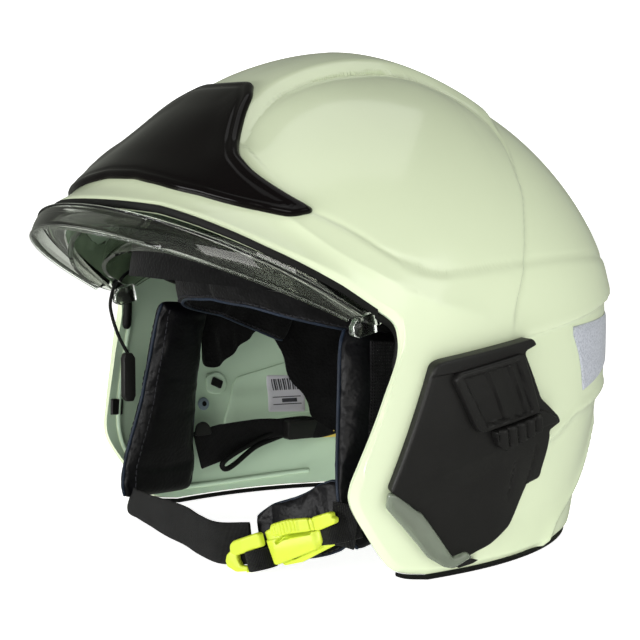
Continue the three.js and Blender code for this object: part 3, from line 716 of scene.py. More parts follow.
def patch(outline, skin, height, base=0.3, spacing=1.6, rings=(0.35, 0.9, 1.7), creases=()):
    """A closed plate with a sculpted face: height gives how far each point stands above the skin."""
    points = [tuple(p) for p in outline]
    edges = [(i, (i + 1) % len(points)) for i in range(len(points))]
    low, high = outline.min(0), outline.max(0)
    u, v = np.meshgrid(np.arange(low[0], high[0], spacing), np.arange(low[1], high[1], spacing * 0.9))
    u = u + (np.arange(u.shape[0])[:, None] % 2) * spacing / 2
    inner = np.stack([u.ravel(), v.ravel()], 1)
    inner = inner[inside_outline(inner, outline)]
    clear = to_outline(inner, outline) > max(rings, default=0) + spacing * 0.4
    for crease in creases:
        crease = np.asarray(crease, float)
        line = spaced(crease, max(3, int(np.ptp(crease, axis=0).max() / 1.2)))
        clear &= distance_to(inner, line) > spacing * 0.45
        start = len(points)
        points += [tuple(q) for q in line]
        edges += [(start + i, start + i + 1) for i in range(len(line) - 1)]
    inner = inner[clear]
    along = np.roll(outline, -1, 0) - np.roll(outline, 1, 0)
    inward = unit(np.stack([-along[:, 1], along[:, 0]], 1))
    area = np.cross(outline, np.roll(outline, -1, 0)).sum()
    inward = inward if area > 0 else -inward
    for ring in rings:
        moved = outline + inward * ring
        keep = inside_outline(moved, outline) & (to_outline(moved, outline) > ring * 0.93)
        points += [tuple(q) for q in moved[keep]]
    points += [tuple(q) for q in inner]
    made = geometry.delaunay_2d_cdt([Vector(q) for q in points], edges, [], 1, 1e-4)
    flat = np.array([tuple(q) for q in made[0]])
    faces = [tuple(f) for f in made[2]]
    place, normal = skin(flat)
    edge = to_outline(flat, outline)
    top = place + normal * height(flat, edge)[:, None]
    bottom = place + normal * base
    count = len(flat)
    used = dict.fromkeys((a, b) for f in faces for a, b in zip(f, f[1:] + f[:1]))
    rim = [(a, b) for a, b in used if (b, a) not in used]
    under = [tuple(i + count for i in f[::-1]) for f in faces]
    wall = [(b, a, a + count, b + count) for a, b in rim]
    return np.vstack([top, bottom]), faces + under + wall


def half_round(edge, size, drop=None):
    """The drop of a rounded rim at a distance from the edge. The rim is size wide and drop high."""
    rise = np.sqrt(np.clip(1 - (1 - np.clip(edge / size, 0, 1)) ** 2, 0, 1))
    return (drop or size) * (1 - rise)


def mirrored(vertices, sign):
    """Vertices of the wearer's left, kept for sign 1 and moved to the right for -1."""
    return np.asarray(vertices) * np.array([sign, 1, 1])


def tube(path, radius, around=10):
    """A round cord along a path, with rounded ends."""
    p = np.asarray(path, float)
    tangent = unit(np.gradient(p, axis=0))
    side = unit(np.cross(tangent[0], (0.3, 0.2, 1.0)))
    rings = []
    angles = np.linspace(0, 2 * np.pi, around, endpoint=False)
    for centre, t in zip(p, tangent):
        side = unit(side - t * side.dot(t))
        turned = np.cos(angles)[:, None] * side + np.sin(angles)[:, None] * np.cross(t, side)
        rings.append(centre + radius * turned)
    ends = []
    for index, out in ((0, -radius), (-1, radius)):
        ring, way = rings[index] - p[index], tangent[index] * out
        ends.append([p[index] + ring * k + way * h for k, h in ((0.8, 0.55), (0.4, 0.9))])
    rings = [ends[0][1], ends[0][0], *rings, ends[1][0], ends[1][1]]
    vertices = np.vstack([*rings, p[0] - tangent[0] * radius, p[-1] + tangent[-1] * radius])
    return vertices, fan_closed(len(rings), around)


def ribbon(path, across, width, thickness, count=80, crown=0.0):
    """A strap along a path: across gives the direction of its width. The UVs are in metres."""
    p = smooth_line(path, count)
    tangent = unit(np.gradient(p, axis=0))
    wide = spaced_values(path, across, count)
    wide = unit(wide - tangent * (wide * tangent).sum(1)[:, None])
    out = np.cross(tangent, wide)
    widths = np.interp(np.linspace(0, 1, count), np.linspace(0, 1, np.size(width)), np.ravel(width))
    deep = thickness / 2
    section = [(-1, 0), (-0.96, deep * 0.8)]
    section += [(t, deep + crown * (1 - t * t)) for t in (-0.86, -0.6, -0.3, 0, 0.3, 0.6, 0.86)]
    section += [(0.96, deep * 0.8), (1, 0)]
    section += [(a, -b if b <= deep else -deep) for a, b in section[-2:0:-1]]
    around = len(section)
    length = distance_along(p)
    wide = wide * widths[:, None] / 2
    vertices = np.concatenate(
        [p[:, None] + a * wide[:, None] + b * out[:, None] for a, b in section], 1
    ).reshape(-1, 3)
    uv = [((a + 1) * w / 2 * MM, y * MM) for y, w in zip(length, widths) for a, _ in section]
    return vertices, flat_closed(count, around), uv


def spaced_values(path, values, count):
    """Values given at a path's points, spread evenly along it."""
    length = distance_along(np.asarray(path, float))
    values = np.broadcast_to(np.asarray(values, float), (len(path), 3))
    at = np.linspace(0, length[-1], count)
    return np.stack([np.interp(at, length, values[:, k]) for k in range(3)], 1)


def with_uv(obj, uv):
    layer = obj.data.uv_layers.new(name="weave")
    index = np.empty(len(obj.data.loops), int)
    obj.data.loops.foreach_get("vertex_index", index)
    layer.data.foreach_set("uv", np.asarray(uv, float)[index].ravel())


def strap(name, path, across, width, thickness, material=None, **settings):
    """A strap as a piece of its own, with the UVs for its weave."""
    shape = {k: settings.pop(k) for k in ("count", "crown") if k in settings}
    vertices, faces, uv = ribbon(path, across, width, thickness, **shape)
    obj = piece(name, vertices, faces, material or BLACK_WEBBING, angle=60, **settings)
    with_uv(obj, uv)


def stitches(path, normal, spacing=3.4, length=2.2, radius=0.32):
    """A row of short threads along a path, as one list of vertices and faces."""
    p = np.asarray(path, float)
    total = np.linalg.norm(np.diff(p, axis=0), axis=1).sum()
    count = max(2, int(total / spacing))
    ends = spaced(p, count * 2)
    lift = spaced_values(p, normal, count * 2)
    threads = []
    for i in range(0, 2 * count - 1, 2):
        a, b = ends[i], ends[i + 1]
        middle, way = (a + b) / 2, unit(b - a)
        line = [middle + way * length * t / 2 + lift[i] * radius * (1 - t * t) for t in (-1, -0.4, 0.4, 1)]
        threads.append(tube(line, radius, 6))
    return join(*threads)


def block(outline, low, high, place, bevel):
    """A prism with rounded edges. outline lies in the first two directions of its place."""
    bm = bmesh.new()
    origin, axes = place
    corners = [Vector(origin + axes[0] * a + axes[1] * b) for a, b in outline]
    floor = [bm.verts.new(c + Vector(axes[2] * low)) for c in corners]
    roof = [bm.verts.new(c + Vector(axes[2] * high)) for c in corners]
    bm.faces.new(floor[::-1])
    bm.faces.new(roof)
    for i in range(len(corners)):
        n = (i + 1) % len(corners)
        bm.faces.new((floor[i], floor[n], roof[n], roof[i]))
    bmesh.ops.recalc_face_normals(bm, faces=bm.faces)
    sharp = [e for e in bm.edges if e.calc_face_angle(0) > math.radians(25)]
    how = {"segments": 3, "profile": 0.5, "affect": "EDGES", "clamp_overlap": True}
    bmesh.ops.bevel(bm, geom=sharp, offset=bevel, **how)
    vertices = [tuple(v.co) for v in bm.verts]
    faces = [tuple(v.index for v in f.verts) for f in bm.faces]
    bm.free()
    return vertices, faces


def join(*shapes):
    """One list of vertices and faces from several shapes."""
    vertices, faces = [], []
    for v, f in shapes:
        faces += [tuple(int(i) + len(vertices) for i in g) for g in f]
        vertices += [tuple(q) for q in v]
    return vertices, faces


def rectangle(width, height, centre=(0, 0)):
    """The outline of a rectangle about its centre."""
    corners = ((-1, -1), (1, -1), (1, 1), (-1, 1))
    return [(centre[0] + a * width / 2, centre[1] + b * height / 2) for a, b in corners]


def turned_frame(origin, turn):
    """An origin with the directions back, up and to the wearer's left, turned by Euler angles."""
    return np.array(origin), np.array(Euler(turn).to_matrix()).T[[1, 2, 0]]


def side_frame(origin, sign):
    """An origin with the directions back, up and outwards."""
    return np.array(origin), np.array([[0, 1.0, 0], [0, 0, 1], [sign, 0, 0]])


def revolve(profile, centre, axis, around=40):
    """A solid of revolution from a profile of radius and distance along the axis."""
    axis = unit(np.asarray(axis, float))
    side = unit(np.cross(axis, (0.21, 0.35, 0.9)))
    other = np.cross(axis, side)
    angles = np.linspace(0, 2 * np.pi, around, endpoint=False)
    ring = np.cos(angles)[:, None] * side + np.sin(angles)[:, None] * other
    rings = [np.asarray(centre) + axis * h + ring * max(r, 1e-3) for r, h in profile]
    return np.vstack(rings), flat_closed(len(rings), around)


# ---------------------------------------------------------------- front plate

# The left half of the plate, in x and z.
PLATE_HALF = [
    (19, 222.3), (29.7, 216.4), (39.7, 206.3), (49.1, 196.7), (55.8, 190.6), (68.2, 182.4), (81.8, 174.3),
    (93.6, 166.8), (94, 164.6), (90.4, 162.6), (79.7, 166), (55.4, 172.3), (30, 176.8), (12, 179)
]


def build_front_plate():
    half = np.array(PLATE_HALF)
    outline = rounded(np.vstack([half, half[::-1] * (-1, 1)]), 3.0, 1.4)

    def height(points, edge):
        rim = 3.1 - half_round(edge, 1.6, 2.6)
        groove = 0.5 * np.exp(-(((edge - 2.9) / 0.5) ** 2))
        dish = 0.7 * ease((edge - 3.2) / 8)
        return rim - groove - dish

    vertices, faces = patch(outline, front_skin, height, 0.25, 2.2, (0.3, 0.8, 1.5, 2.2, 2.9, 3.6, 4.6))
    piece(
        "front_plate_cover", vertices, faces, GLOSS_BLACK, replaces=["front_plate"], slot="gloss_black",
        angle=50
    )


build_front_plate()

# ---------------------------------------------------------------- side covers, lamps and adapters

# Outlines in y and z on the wearer's left.
COVER = [
    (-53.4, 47.3), (-39, 100), (-37.2, 101.8), (-34, 102.8), (15.1, 109.2), (18.2, 105.8), (11.3, 103.3),
    (24.2, 81.6), (39.4, 71.4), (41.4, 68.3), (33.3, 65.4), (34.1, 62.7), (33.4, 52.1), (32.1, 43),
    (22.9, 41.3), (19.9, 35.5), (14.5, 23), (4.3, 15.2), (-6, 10.2), (-17.6, 9), (-36.2, 32.8),
    (-39.2, 35.2), (-51.2, 45)
]
UPPER_FOLD = np.array([(-49.8, 45.6), (-37, 50.2), (-25.9, 53.7), (-14, 57.2), (-2, 60.2), (7, 62.2)])
LOWER_FOLD = np.array([(-38.4, 36.3), (-29, 40.2), (-16.4, 45), (-4, 49.7), (3, 52.5), (7.6, 54.6)])
LIP_LOW = np.array([(-43, 95.4), (-37.1, 96.1), (-28, 96.8), (-10.1, 99.8), (8.7, 102.8), (19, 105.9)])
SLITS = [
    np.array([(11.6, 54.5), (10.9, 46.2), (10.1, 37.4)]),
    np.array([(24.6, 59.4), (24.6, 50.4), (22.6, 41.6)])
]
LENS_OUTLINE = [
    (-54.2, 46.4), (-51, 45.8), (-39.5, 37), (-37, 35.7), (-15.8, 12.1), (-8.6, 13.8), (-4.4, 11.3),
    (-14.6, 7), (-19.7, 8.2), (-29.8, 14.2), (-54.2, 39.4)
]
LENS_INNER = [(-51.8, 42.2), (-40.4, 34), (-37.6, 32), (-19, 11.8), (-27, 15.4), (-51.4, 39.4)]
PLATE = [(-30.3, 94.2), (-28.4, 97.4), (7.3, 103.2), (20.2, 76), (-14, 70.2), (-17, 72.4)]
PLATE_FLOOR = [(-26.7, 95.2), (4.2, 100.4), (16, 76.3), (-12.2, 73.2)]
RIBS = [((-26, 95), (-11.4, 73.5)), ((-13.5, 96.8), (-0.2, 74.6)), ((-1.1, 98.6), (12.9, 75.6))]
COMB = [
    (-7, 70.2), (18, 74.8), (25, 76.2), (36.6, 71.2), (37.8, 68.8), (21.2, 67.5), (0.3, 61.2), (-3.2, 62.9)
]


def cover_height(points, edge):
    y, z = points.T
    upper, lower = np.interp(y, *UPPER_FOLD.T), np.interp(y, *LOWER_FOLD.T)
    fall = np.clip((upper - z) / np.maximum(upper - lower, 0.1), 0, 1)
    h = 5.2 - 2.3 * fall * ease((9 - y) / 16)
    h = h + 1.1 * ease((z - np.interp(y, *LIP_LOW.T)) / 0.8)
    front = np.clip(((y + 55) * 52.1 - (z - 47.5) * 14.6) / np.hypot(52.1, 14.6), 0, 30)
    h = h - 1.5 * np.clip(1 - front / 3.0, 0, 1) * ease((z - 46) / 3)
    for slit in SLITS:
        h = h - 1.1 * np.exp(-((distance_to(points, slit) / 0.55) ** 2))
    tail = ease((y - 14) / 10) * ease((60 - z) / 14)
    h = h - 1.0 * tail
    return h - half_round(edge, 1.0)


def segment_coordinates(points, start, end):
    """How far along a segment, from 0 to 1, and how far to its right each point lies."""
    start, end = np.array(start, float), np.array(end, float)
    way = end - start
    along = ((points - start) @ way) / (way @ way)
    beside = ((points - start) @ np.array([-way[1], way[0]])) / np.linalg.norm(way)
    return along, beside


def plate_height(points, edge):
    inside = inside_outline(points, np.array(PLATE_FLOOR))
    to_floor = to_outline(points, np.array(PLATE_FLOOR)) * np.where(inside, 1, -1)
    h = 9.0 - 1.9 * ease((to_floor + 0.2) / 1.2)
    for start, end in RIBS[1:]:
        beside = segment_coordinates(points, start, end)[1]
        down = np.clip(1 - (beside - 0.2) / 7.5, 0, 1)
        ramp = down * (beside > 0) + ease((beside + 0.9) / 0.9) * (beside <= 0)
        h = h + 1.5 * ramp * inside * ease(to_floor / 1.6)
    return h - half_round(edge, 1.1)


def comb_height(points, edge):
    along, beside = segment_coordinates(points, (-2.8, 65.5), (21.4, 71))
    teeth = np.abs(np.sin(along * np.pi * 4.6 + 0.5)) ** 0.6
    body = ease((along + 0.2) / 0.1) * ease((1.04 - along) / 0.06)
    h = 6.6 + 3.6 * body - 2.2 * (1 - teeth) * body * ease((beside + 4.2) / 1.5)
    return h - half_round(edge, 1.2, 0.9)


def lens_height(points, edge):
    inside = inside_outline(points, np.array(LENS_INNER))
    to_inner = to_outline(points, np.array(LENS_INNER))
    h = 5.4 - 0.8 * inside * ease(to_inner / 1.2) - 0.5 * np.exp(-((to_inner / 0.5) ** 2))
    return h - half_round(edge, 1.8, 1.5)


def build_side(side):
    sign = SIDES[side]
    fine = 1.5

    def add(name, outline, height, base, spacing, replaced, rings=(0.3, 0.8, 1.5), creases=()):
        vertices, faces = patch(outline, side_skin, height, base, spacing, rings, creases)
        material, slot = (LENS, "lamp_clear") if name == "lens" else (BLACK_PLASTIC, "black_plastic")
        piece(
            f"{name}_{side}", mirrored(vertices, sign), faces, material,
            replaces=[f"{replaced}_{side}"], slot=slot, angle=38
        )

    lip = LIP_LOW[1:-1]
    folds = [UPPER_FOLD[1:], LOWER_FOLD[1:], lip, lip + (0, 0.8)]
    add("cover", rounded(COVER, 2.2), cover_height, 0.3, fine, "side_cover", creases=folds)
    add("adapter", rounded(PLATE, 2.4), plate_height, 5.4, 0.9, "adapter_plate")
    add("comb", rounded(COMB, 1.4), comb_height, 5.4, 0.6, "adapter_latch", (0.4, 1))
    lens_line = rounded(LENS_OUTLINE, 1.5, 0.9)
    add("lens", lens_line, lens_height, 3.0, 1.3, "lamp_lens", (0.3, 0.8, 1.5, 2.4))


for side in SIDES:
    build_side(side)

# ---------------------------------------------------------------- reflective strips


def build_strip(side):
    sign = SIDES[side]
    azimuth = np.linspace(np.radians(15), np.radians(79.5), 90)
    rows = np.linspace(0, 1, 16)
    z = np.full(90, 100.0)
    y = dome(azimuth, 2 - z / EQUATOR)[:, 1]
    start = y > 58.5
    azimuth, y = azimuth[start], y[start]
    low = np.interp(y, (58, 65, 69.5, 71, 200), (108, 97, 86, 78.3, 101.5))
    high = np.interp(y, (58, 200), (110, 112.8))
    z = low + (high - low) * rows[:, None]
    azimuth = np.broadcast_to(azimuth, z.shape)
    top = shell_point(azimuth, 2 - z / EQUATOR, 0.75)
    base = shell_point(azimuth, 2 - z / EQUATOR, 0.1)
    top[[0, -1]] = (top[[0, -1]] + base[[0, -1]] * 2) / 3
    vertices, faces = slab(mirrored(top, sign), mirrored(base, sign))
    piece(
        f"strip_{side}", vertices, faces, STRIP, replaces=[f"reflective_strip_{side}"], slot="reflective",
        angle=60
    )


for side in SIDES:
    build_strip(side)

# ---------------------------------------------------------------- visors

HINGE = np.array([0, -5.0, 125.0])


def polar(x, reach, angle):
    """Points at a reach from the hinge line, raised by an angle in degrees above straight ahead."""
    angle = np.radians(angle)
    return np.stack([x + 0 * angle, HINGE[1] - reach * np.cos(angle), HINGE[2] + reach * np.sin(angle)], -1)


def under_shell(points, inset):
    """Whether points lie inside the shell, at least inset from its plain outside."""
    targets = points.copy()
    targets[:, 0] = np.abs(targets[:, 0])
    direction = np.arctan2(targets[:, 1], np.maximum(targets[:, 0], 1e-3))
    low = depth_where(direction, lambda p: p[:, 2] > targets[:, 2], 0.02, 2.0, 24, -inset)
    edge = dome(direction, low, -inset)
    return np.hypot(targets[:, 0], targets[:, 1]) < np.hypot(edge[:, 0], edge[:, 1])


def pane(half, side_reach, front_low, side_low, top, reach_table, room, thickness, rows):
    """A curved pane that turns about the hinge, with an arm on each side that reaches back to it."""
    turns = np.radians(np.linspace(-90, 90, 129))

    def reach_at(angle, turn):
        return side_reach + (np.interp(angle, *np.transpose(reach_table)) - side_reach) * np.cos(turn)

    lowest = side_low + (front_low - side_low) * np.cos(turns)
    tops = lowest + 5
    for i, turn in enumerate(turns):
        angles = np.arange(top, lowest[i] + 5, -0.5)
        fits = under_shell(polar(half * np.sin(turn), reach_at(angles, turn), angles), WALL + room)
        if fits.any():
            tops[i] = angles[np.argmax(fits)]
    for i in range(1, len(tops)):
        tops[i] = min(tops[i], tops[i - 1] + 3.4)
    for i in range(len(tops) - 2, -1, -1):
        tops[i] = min(tops[i], tops[i + 1] + 3.4)
    up = np.linspace(0, 1, rows)[:, None]
    angle = lowest + (tops - lowest) * up

    def surface(offset):
        reach = reach_at(angle, turns) + offset * np.cos(turns)
        body = polar((half + offset) * np.sin(turns), reach, angle)
        back = np.linspace(0.04, 1, 14)[1:]
        arms = []
        for sign, column in ((-1, 0), (1, -1)):
            low = angle[0, column] + (12 - angle[0, column]) * np.minimum(1, back * 1.5)
            a = low + (angle[-1, column] - low) * up
            arms.append(polar(sign * (half + offset), side_reach + (6.0 - side_reach) * back, a))
        return np.concatenate([arms[0][:, ::-1], body, arms[1]], 1)

    return slab(surface(thickness / 2), surface(-thickness / 2))


def hinge_discs(*places):
    """A disc on each side, centred on the hinge, with a chamfer between the outer two places."""
    profile = list(zip((11.6, 12, 12, 11.6), places))
    return [revolve(profile, HINGE, (sign, 0, 0)) for sign in SIDES.values()]


def build_visors():
    reach = [(18, 120), (31, 112.5), (42, 107), (52, 104.2), (60, 103.6)]
    sheet = pane(106, 50, 17, -9, 72, reach, 2, 2.4, 24)
    shape = join(sheet, *hinge_discs(104.8, 105.2, 106.8, 107.2))
    piece("shield_pane", *shape, CLEAR, "face_shield", ["face_shield"], "clear", angle=40)
    reach = [(18, 98.6), (45, 98), (60, 96.5)]
    sheet = pane(96, 48, 12, -4, 56, reach, 7.5, 2.2, 22)
    shape = join(sheet, *hinge_discs(94.9, 95.3, 96.7, 97.1))
    piece("ocular_pane", *shape, CLEAR, "ocular_visor", ["ocular_visor"], "clear", angle=40)


def tilted_arc(turn, half, front, side, power):
    """A curve round the brow from one temple to the other. front and side are its ends in y and z."""
    k = (np.abs(np.sin(turn)) ** power + np.cos(turn) ** power) ** (-1 / power)
    g = 1 - k * np.cos(turn)
    y, z = [front[axis] + (side[axis] - front[axis]) * g for axis in (0, 1)]
    return np.stack([half * k * np.sin(turn), y, z + 3.2 * g * (1 - g)], -1)


# Half width, front and side ends, and squareness of the lip's lower edge, upper edge and root.
LIP_EDGES = [
    (107.4, (-150.6, 158), (-58.2, 113.9), 1.85),
    (110.6, (-141.4, 168), (-54, 115.5), 2.05),
    (105.6, (-125.2, 162.5), (-51, 112.5), 2.2),
]


def lip_edge(turn, row):
    """A point on the lip between its lower edge, at row 0, its upper edge, at 1, and its root, at 2."""
    low = min(int(row), 1)
    part = row - low
    a, b = tilted_arc(turn, *LIP_EDGES[low]), tilted_arc(turn, *LIP_EDGES[low + 1])
    return a + (b - a) * part


def build_lip():
    """The flared lip at the shield's lower edge, with its rolled beads and seam."""
    turns = np.radians(np.linspace(-82, 82, 161))
    inward = np.stack([-np.sin(turns), np.cos(turns), 0 * turns], -1)
    rows = [0, 0.06, 0.2, 0.35, 0.5, 0.65, 0.8, 0.94, 1, 1.08, 1.3, 1.6, 2]
    outside, inside = [], []
    for row in rows:
        go_in = np.interp(row, (0, 0.06, 1, 2), (1.2, 2.2, 2.4, 1.2))
        go_down = np.interp(row, (0, 0.06, 1, 2), (0.5, 0.4, -1.6, -1.8))
        bulge = 0.9 * math.sin(math.pi * min(row, 1))
        edge = lip_edge(turns, row) - inward * bulge
        outside.append(edge)
        inside.append(edge + inward * go_in + np.array([0, 0, go_down]))
    piece(
        "lip_band", *slab(np.array(outside), np.array(inside)), SMOKE, "face_shield", ["shield_lip"],
        "clear", angle=50
    )
    for name, row, radius in (("lip_bead_low", 0.0, 0.75), ("lip_bead_high", 1.0, 0.7)):
        line = lip_edge(turns, row)
        piece(name, *tube(line, radius, 8), CLEAR_EDGE, "face_shield", slot="clear")
    line = lip_edge(turns, 0.985) - inward * 0.2
    piece("lip_seam", *tube(line, 0.45, 8), RUBBER, "face_shield", slot="rubber")


build_visors()
build_lip()

# ---------------------------------------------------------------- padded pieces

# Column of the pad, radius and material.
PAD_PIPING = ((0, 0.8, PIPING), (16, 0.8, PIPING))


def pad_body(path, across, width, thickness, count=40, around=32, boxy=0.42, crown=0.25):
    """A cushion along a path, closed and rounded at both ends. Returns its points as rings."""
    p = smooth_line(path, count)
    tangent = unit(np.gradient(p, axis=0))
    wide = spaced_values(path, across, count)
    wide = unit(wide - tangent * (wide * tangent).sum(1)[:, None])
    out = np.cross(tangent, wide)
    angles = np.linspace(0, 2 * np.pi, around, endpoint=False)
    c, s = np.cos(angles), np.sin(angles)
    a = np.sign(c) * np.abs(c) ** boxy
    b = np.sign(s) * np.abs(s) ** boxy * (1 + crown * (1 - a**2))
    length = np.linalg.norm(np.diff(p, axis=0), axis=1).sum()
    to_end = np.minimum(np.linspace(0, length, count), np.linspace(length, 0, count))
    thin = np.sqrt(np.clip(1 - (1 - np.clip(to_end / (thickness * 0.7), 0, 1)) ** 2, 0.02, 1))
    narrow = 1 - 0.1 * (1 - np.clip(to_end / (thickness * 0.9), 0, 1)) ** 2
    widths = np.interp(np.linspace(0, 1, count), np.linspace(0, 1, np.size(width)), np.ravel(width))
    across_shift = (a * (widths * narrow)[:, None] / 2)[..., None] * wide[:, None]
    out_shift = (b * thin[:, None] * thickness / 2)[..., None] * out[:, None]
    return p[:, None] + across_shift + out_shift


def closed_rings(rings):
    vertices = np.vstack([rings.reshape(-1, 3), rings[0].mean(0), rings[-1].mean(0)])
    return vertices, fan_closed(*rings.shape[:2])


def inflate(obj, held, pressure=4.0, cap=0.0022, shrink=-0.02):
    """Fills a cushion with air as cloth, and keeps each point within cap of where it was."""
    scene = bpy.context.scene
    group = obj.vertex_groups.new(name="held")
    group.add([int(i) for i in held], 1.0, "REPLACE")
    cloth = obj.modifiers.new("cloth", "CLOTH")
    settings = cloth.settings
    settings.quality = 5
    settings.mass = 0.25
    settings.tension_stiffness = settings.compression_stiffness = 12
    settings.shear_stiffness = 6
    settings.bending_stiffness = 0.4
    settings.use_pressure = True
    settings.uniform_pressure_force = pressure
    settings.shrink_min = shrink
    settings.vertex_group_mass = "held"
    settings.effector_weights.gravity = 0
    cloth.collision_settings.use_collision = False
    cloth.collision_settings.use_self_collision = False
    cloth.point_cache.frame_start, cloth.point_cache.frame_end = 1, 20
    for frame_number in range(1, 21):
        scene.frame_set(frame_number)
    graph = bpy.context.evaluated_depsgraph_get()
    moved = obj.evaluated_get(graph).to_mesh()
    count = len(obj.data.vertices)
    after, before = np.empty(count * 3), np.empty(count * 3)
    moved.vertices.foreach_get("co", after)
    obj.data.vertices.foreach_get("co", before)
    shift = (after - before).reshape(-1, 3)
    size = np.linalg.norm(shift, axis=1, keepdims=True)
    shift *= np.minimum(1, cap / np.maximum(size, 1e-9))
    obj.modifiers.clear()
    obj.data.vertices.foreach_set("co", (before.reshape(-1, 3) + shift).ravel())
    obj.data.update()
    scene.frame_set(1)


def cushion(
    name, path, across, width, thickness, material, fill, replaces, stitch, piping=PAD_PIPING, **shape
):
    """A stuffed pad along a path, with piping along its edges and rows of stitches."""
    rings = pad_body(path, across, width, thickness, **shape)
    count, around = rings.shape[:2]
    vertices, faces = closed_rings(rings)
    obj = piece(name, vertices, faces, material, replaces=replaces, slot="leather")
    edges = [r * around + k for r in range(count) for k in (0, around // 2)]
    ends = [*range(2 * around), *range((count - 2) * around, count * around + 2)]
    inflate(obj, edges + ends)
    grown = np.empty(len(obj.data.vertices) * 3)
    obj.data.vertices.foreach_get("co", grown)
    rings = (grown.reshape(-1, 3) / MM)[: count * around].reshape(count, around, 3)
    modify(obj, "SUBSURF", levels=1, render_levels=1)
    obj.data.shade_smooth()
    for index, (column, radius, cover) in enumerate(piping):
        line = spaced(rings[1:-1, column], 90)
        piece(f"{name}_piping_{index}", *tube(line, radius, 8), cover, slot="leather")
    for index, column in enumerate(stitch):
        seam = rings[2:-2, column]
        out = spaced_values(seam, unit(seam - rings.mean(1)[2:-2]), 60)
        threads = stitches(spaced(seam, 60) + out * 0.15, out)
        piece(f"{name}_thread_{index}", *threads, THREAD, slot="leather")


def build_cheeks(side):
    sign = SIDES[side]
    if side == "left":
        path = [
            (80, -33.5, 111), (82.5, -36, 97), (84, -37.5, 84), (86, -39.5, 70), (88, -41.5, 54),
            (91, -43.5, 36), (94.5, -39.5, 21)
        ]
        widths = (36, 38, 38, 38, 38, 36, 34)
    else:
        path = [
            (80, -33.5, 113), (82.5, -35.5, 98), (84, -37, 84), (86, -38.5, 70), (88, -40, 54),
            (91, -42.5, 32), (93, -43.5, 9.5)
        ]
        widths = (31, 32, 34, 36, 41, 46, 46)
    path = mirrored(path, sign)
    across = (sign * 0.12, 1, 0)
    seams = (3, 29) if sign > 0 else (11, 21)
    edges = ((16, 0.9, PIPING), (0, 0.9, PIPING))
    cushion(
        f"cheek_pad_{side}_cover", path, across, widths, 9.0, BLACK_LEATHER, 0.75,
        replaces=[f"cheek_pad_{side}"], piping=edges, stitch=seams, count=54, crown=0.3,
    )
    mesh_path = mirrored([(89.5, -29, 107), (92, -31, 84), (95.2, -35, 58)], sign)
    across = (sign * 0.1, 1, 0)
    strap(
        f"cheek_side_{side}", mesh_path, across, 30, 1.6, MESH_TEXTILE, replaces=[f"cheek_mesh_{side}"],
        slot="webbing", count=60, crown=0.6
    )


for side in SIDES:
    build_cheeks(side)


def ring_on_head(azimuth, z, inset):
    """A point on the liner's inside at a height, moved inwards by inset."""
    low = depth_where(azimuth, lambda p: p[:, 2] > z, 0.05, 2.0, 30, -inset, LINER_INSIDE)
    return dome(azimuth, low, -inset, LINER_INSIDE)


def on_head(degrees, inset, width, lift):
    """Points of the headband's line, whose height falls from front to back."""
    azimuth = np.radians(np.asarray(degrees, float))
    height = 125 - 19 * np.sin(azimuth) + lift
    point = ring_on_head(azimuth, height + width / 2, inset)
    point[:, 2] = height
    return point


def build_headband():
    """The headband's strip, with the pads at the brow and the nape."""
    degrees = np.linspace(0, 360, 120, endpoint=False)
    centre = on_head(degrees, 2.6, 24, 0)
    section = [
        (-12, 0), (-11.5, 0.8), (-8, 1.1), (8, 1.1), (11.5, 0.8), (12, 0), (11.5, -0.8), (8, -1.0),
        (-8, -1.0), (-11.5, -0.8)
    ]
    tangent = unit(np.roll(centre, -1, 0) - np.roll(centre, 1, 0))
    up = unit(UPRIGHT - tangent * tangent[:, 2:3])
    out = np.cross(tangent, up)
    rings = np.stack([centre + up * a + out * b for a, b in section], 1)
    count, around = rings.shape[:2]
    faces = list(grid_faces(count, around, 0, True))
    last = (count - 1) * around
    faces += [(last + c, c, (c + 1) % around, last + (c + 1) % around) for c in range(around)]
    piece(
        "headband_strip", rings.reshape(-1, 3), faces, BLACK_PLASTIC, replaces=["headband"],
        slot="black_plastic", angle=50
    )
    degrees = np.linspace(-206, 26, 33)
    from_front = np.abs(degrees + 90)
    middle = np.interp(from_front, (0, 25, 40, 55, 82, 102, 116), (143, 141, 137, 133, 126, 116, 108))
    path = ring_on_head(np.radians(degrees), middle + 21, 7.5)
    path[:, 2] = middle
    cushion(
        "brow_pad_cover", path, UPRIGHT, 42, 4.4, LINER_CLOTH, 0.6,
        replaces=["brow_pad"], count=130, stitch=[3, 13, 19, 29],
    )
    path = [(-72, 58, 72), (-56, 90, 66), (0, 110, 62), (56, 90, 66), (72, 58, 72)]
    cushion(
        "nape_pad_cover", path, UPRIGHT, 40, 5.5, BLACK_LEATHER, 0.6,
        replaces=["nape_pad"], count=90, stitch=[3, 13, 19, 29]
    )


build_headband()

# ---------------------------------------------------------------- liner and cap


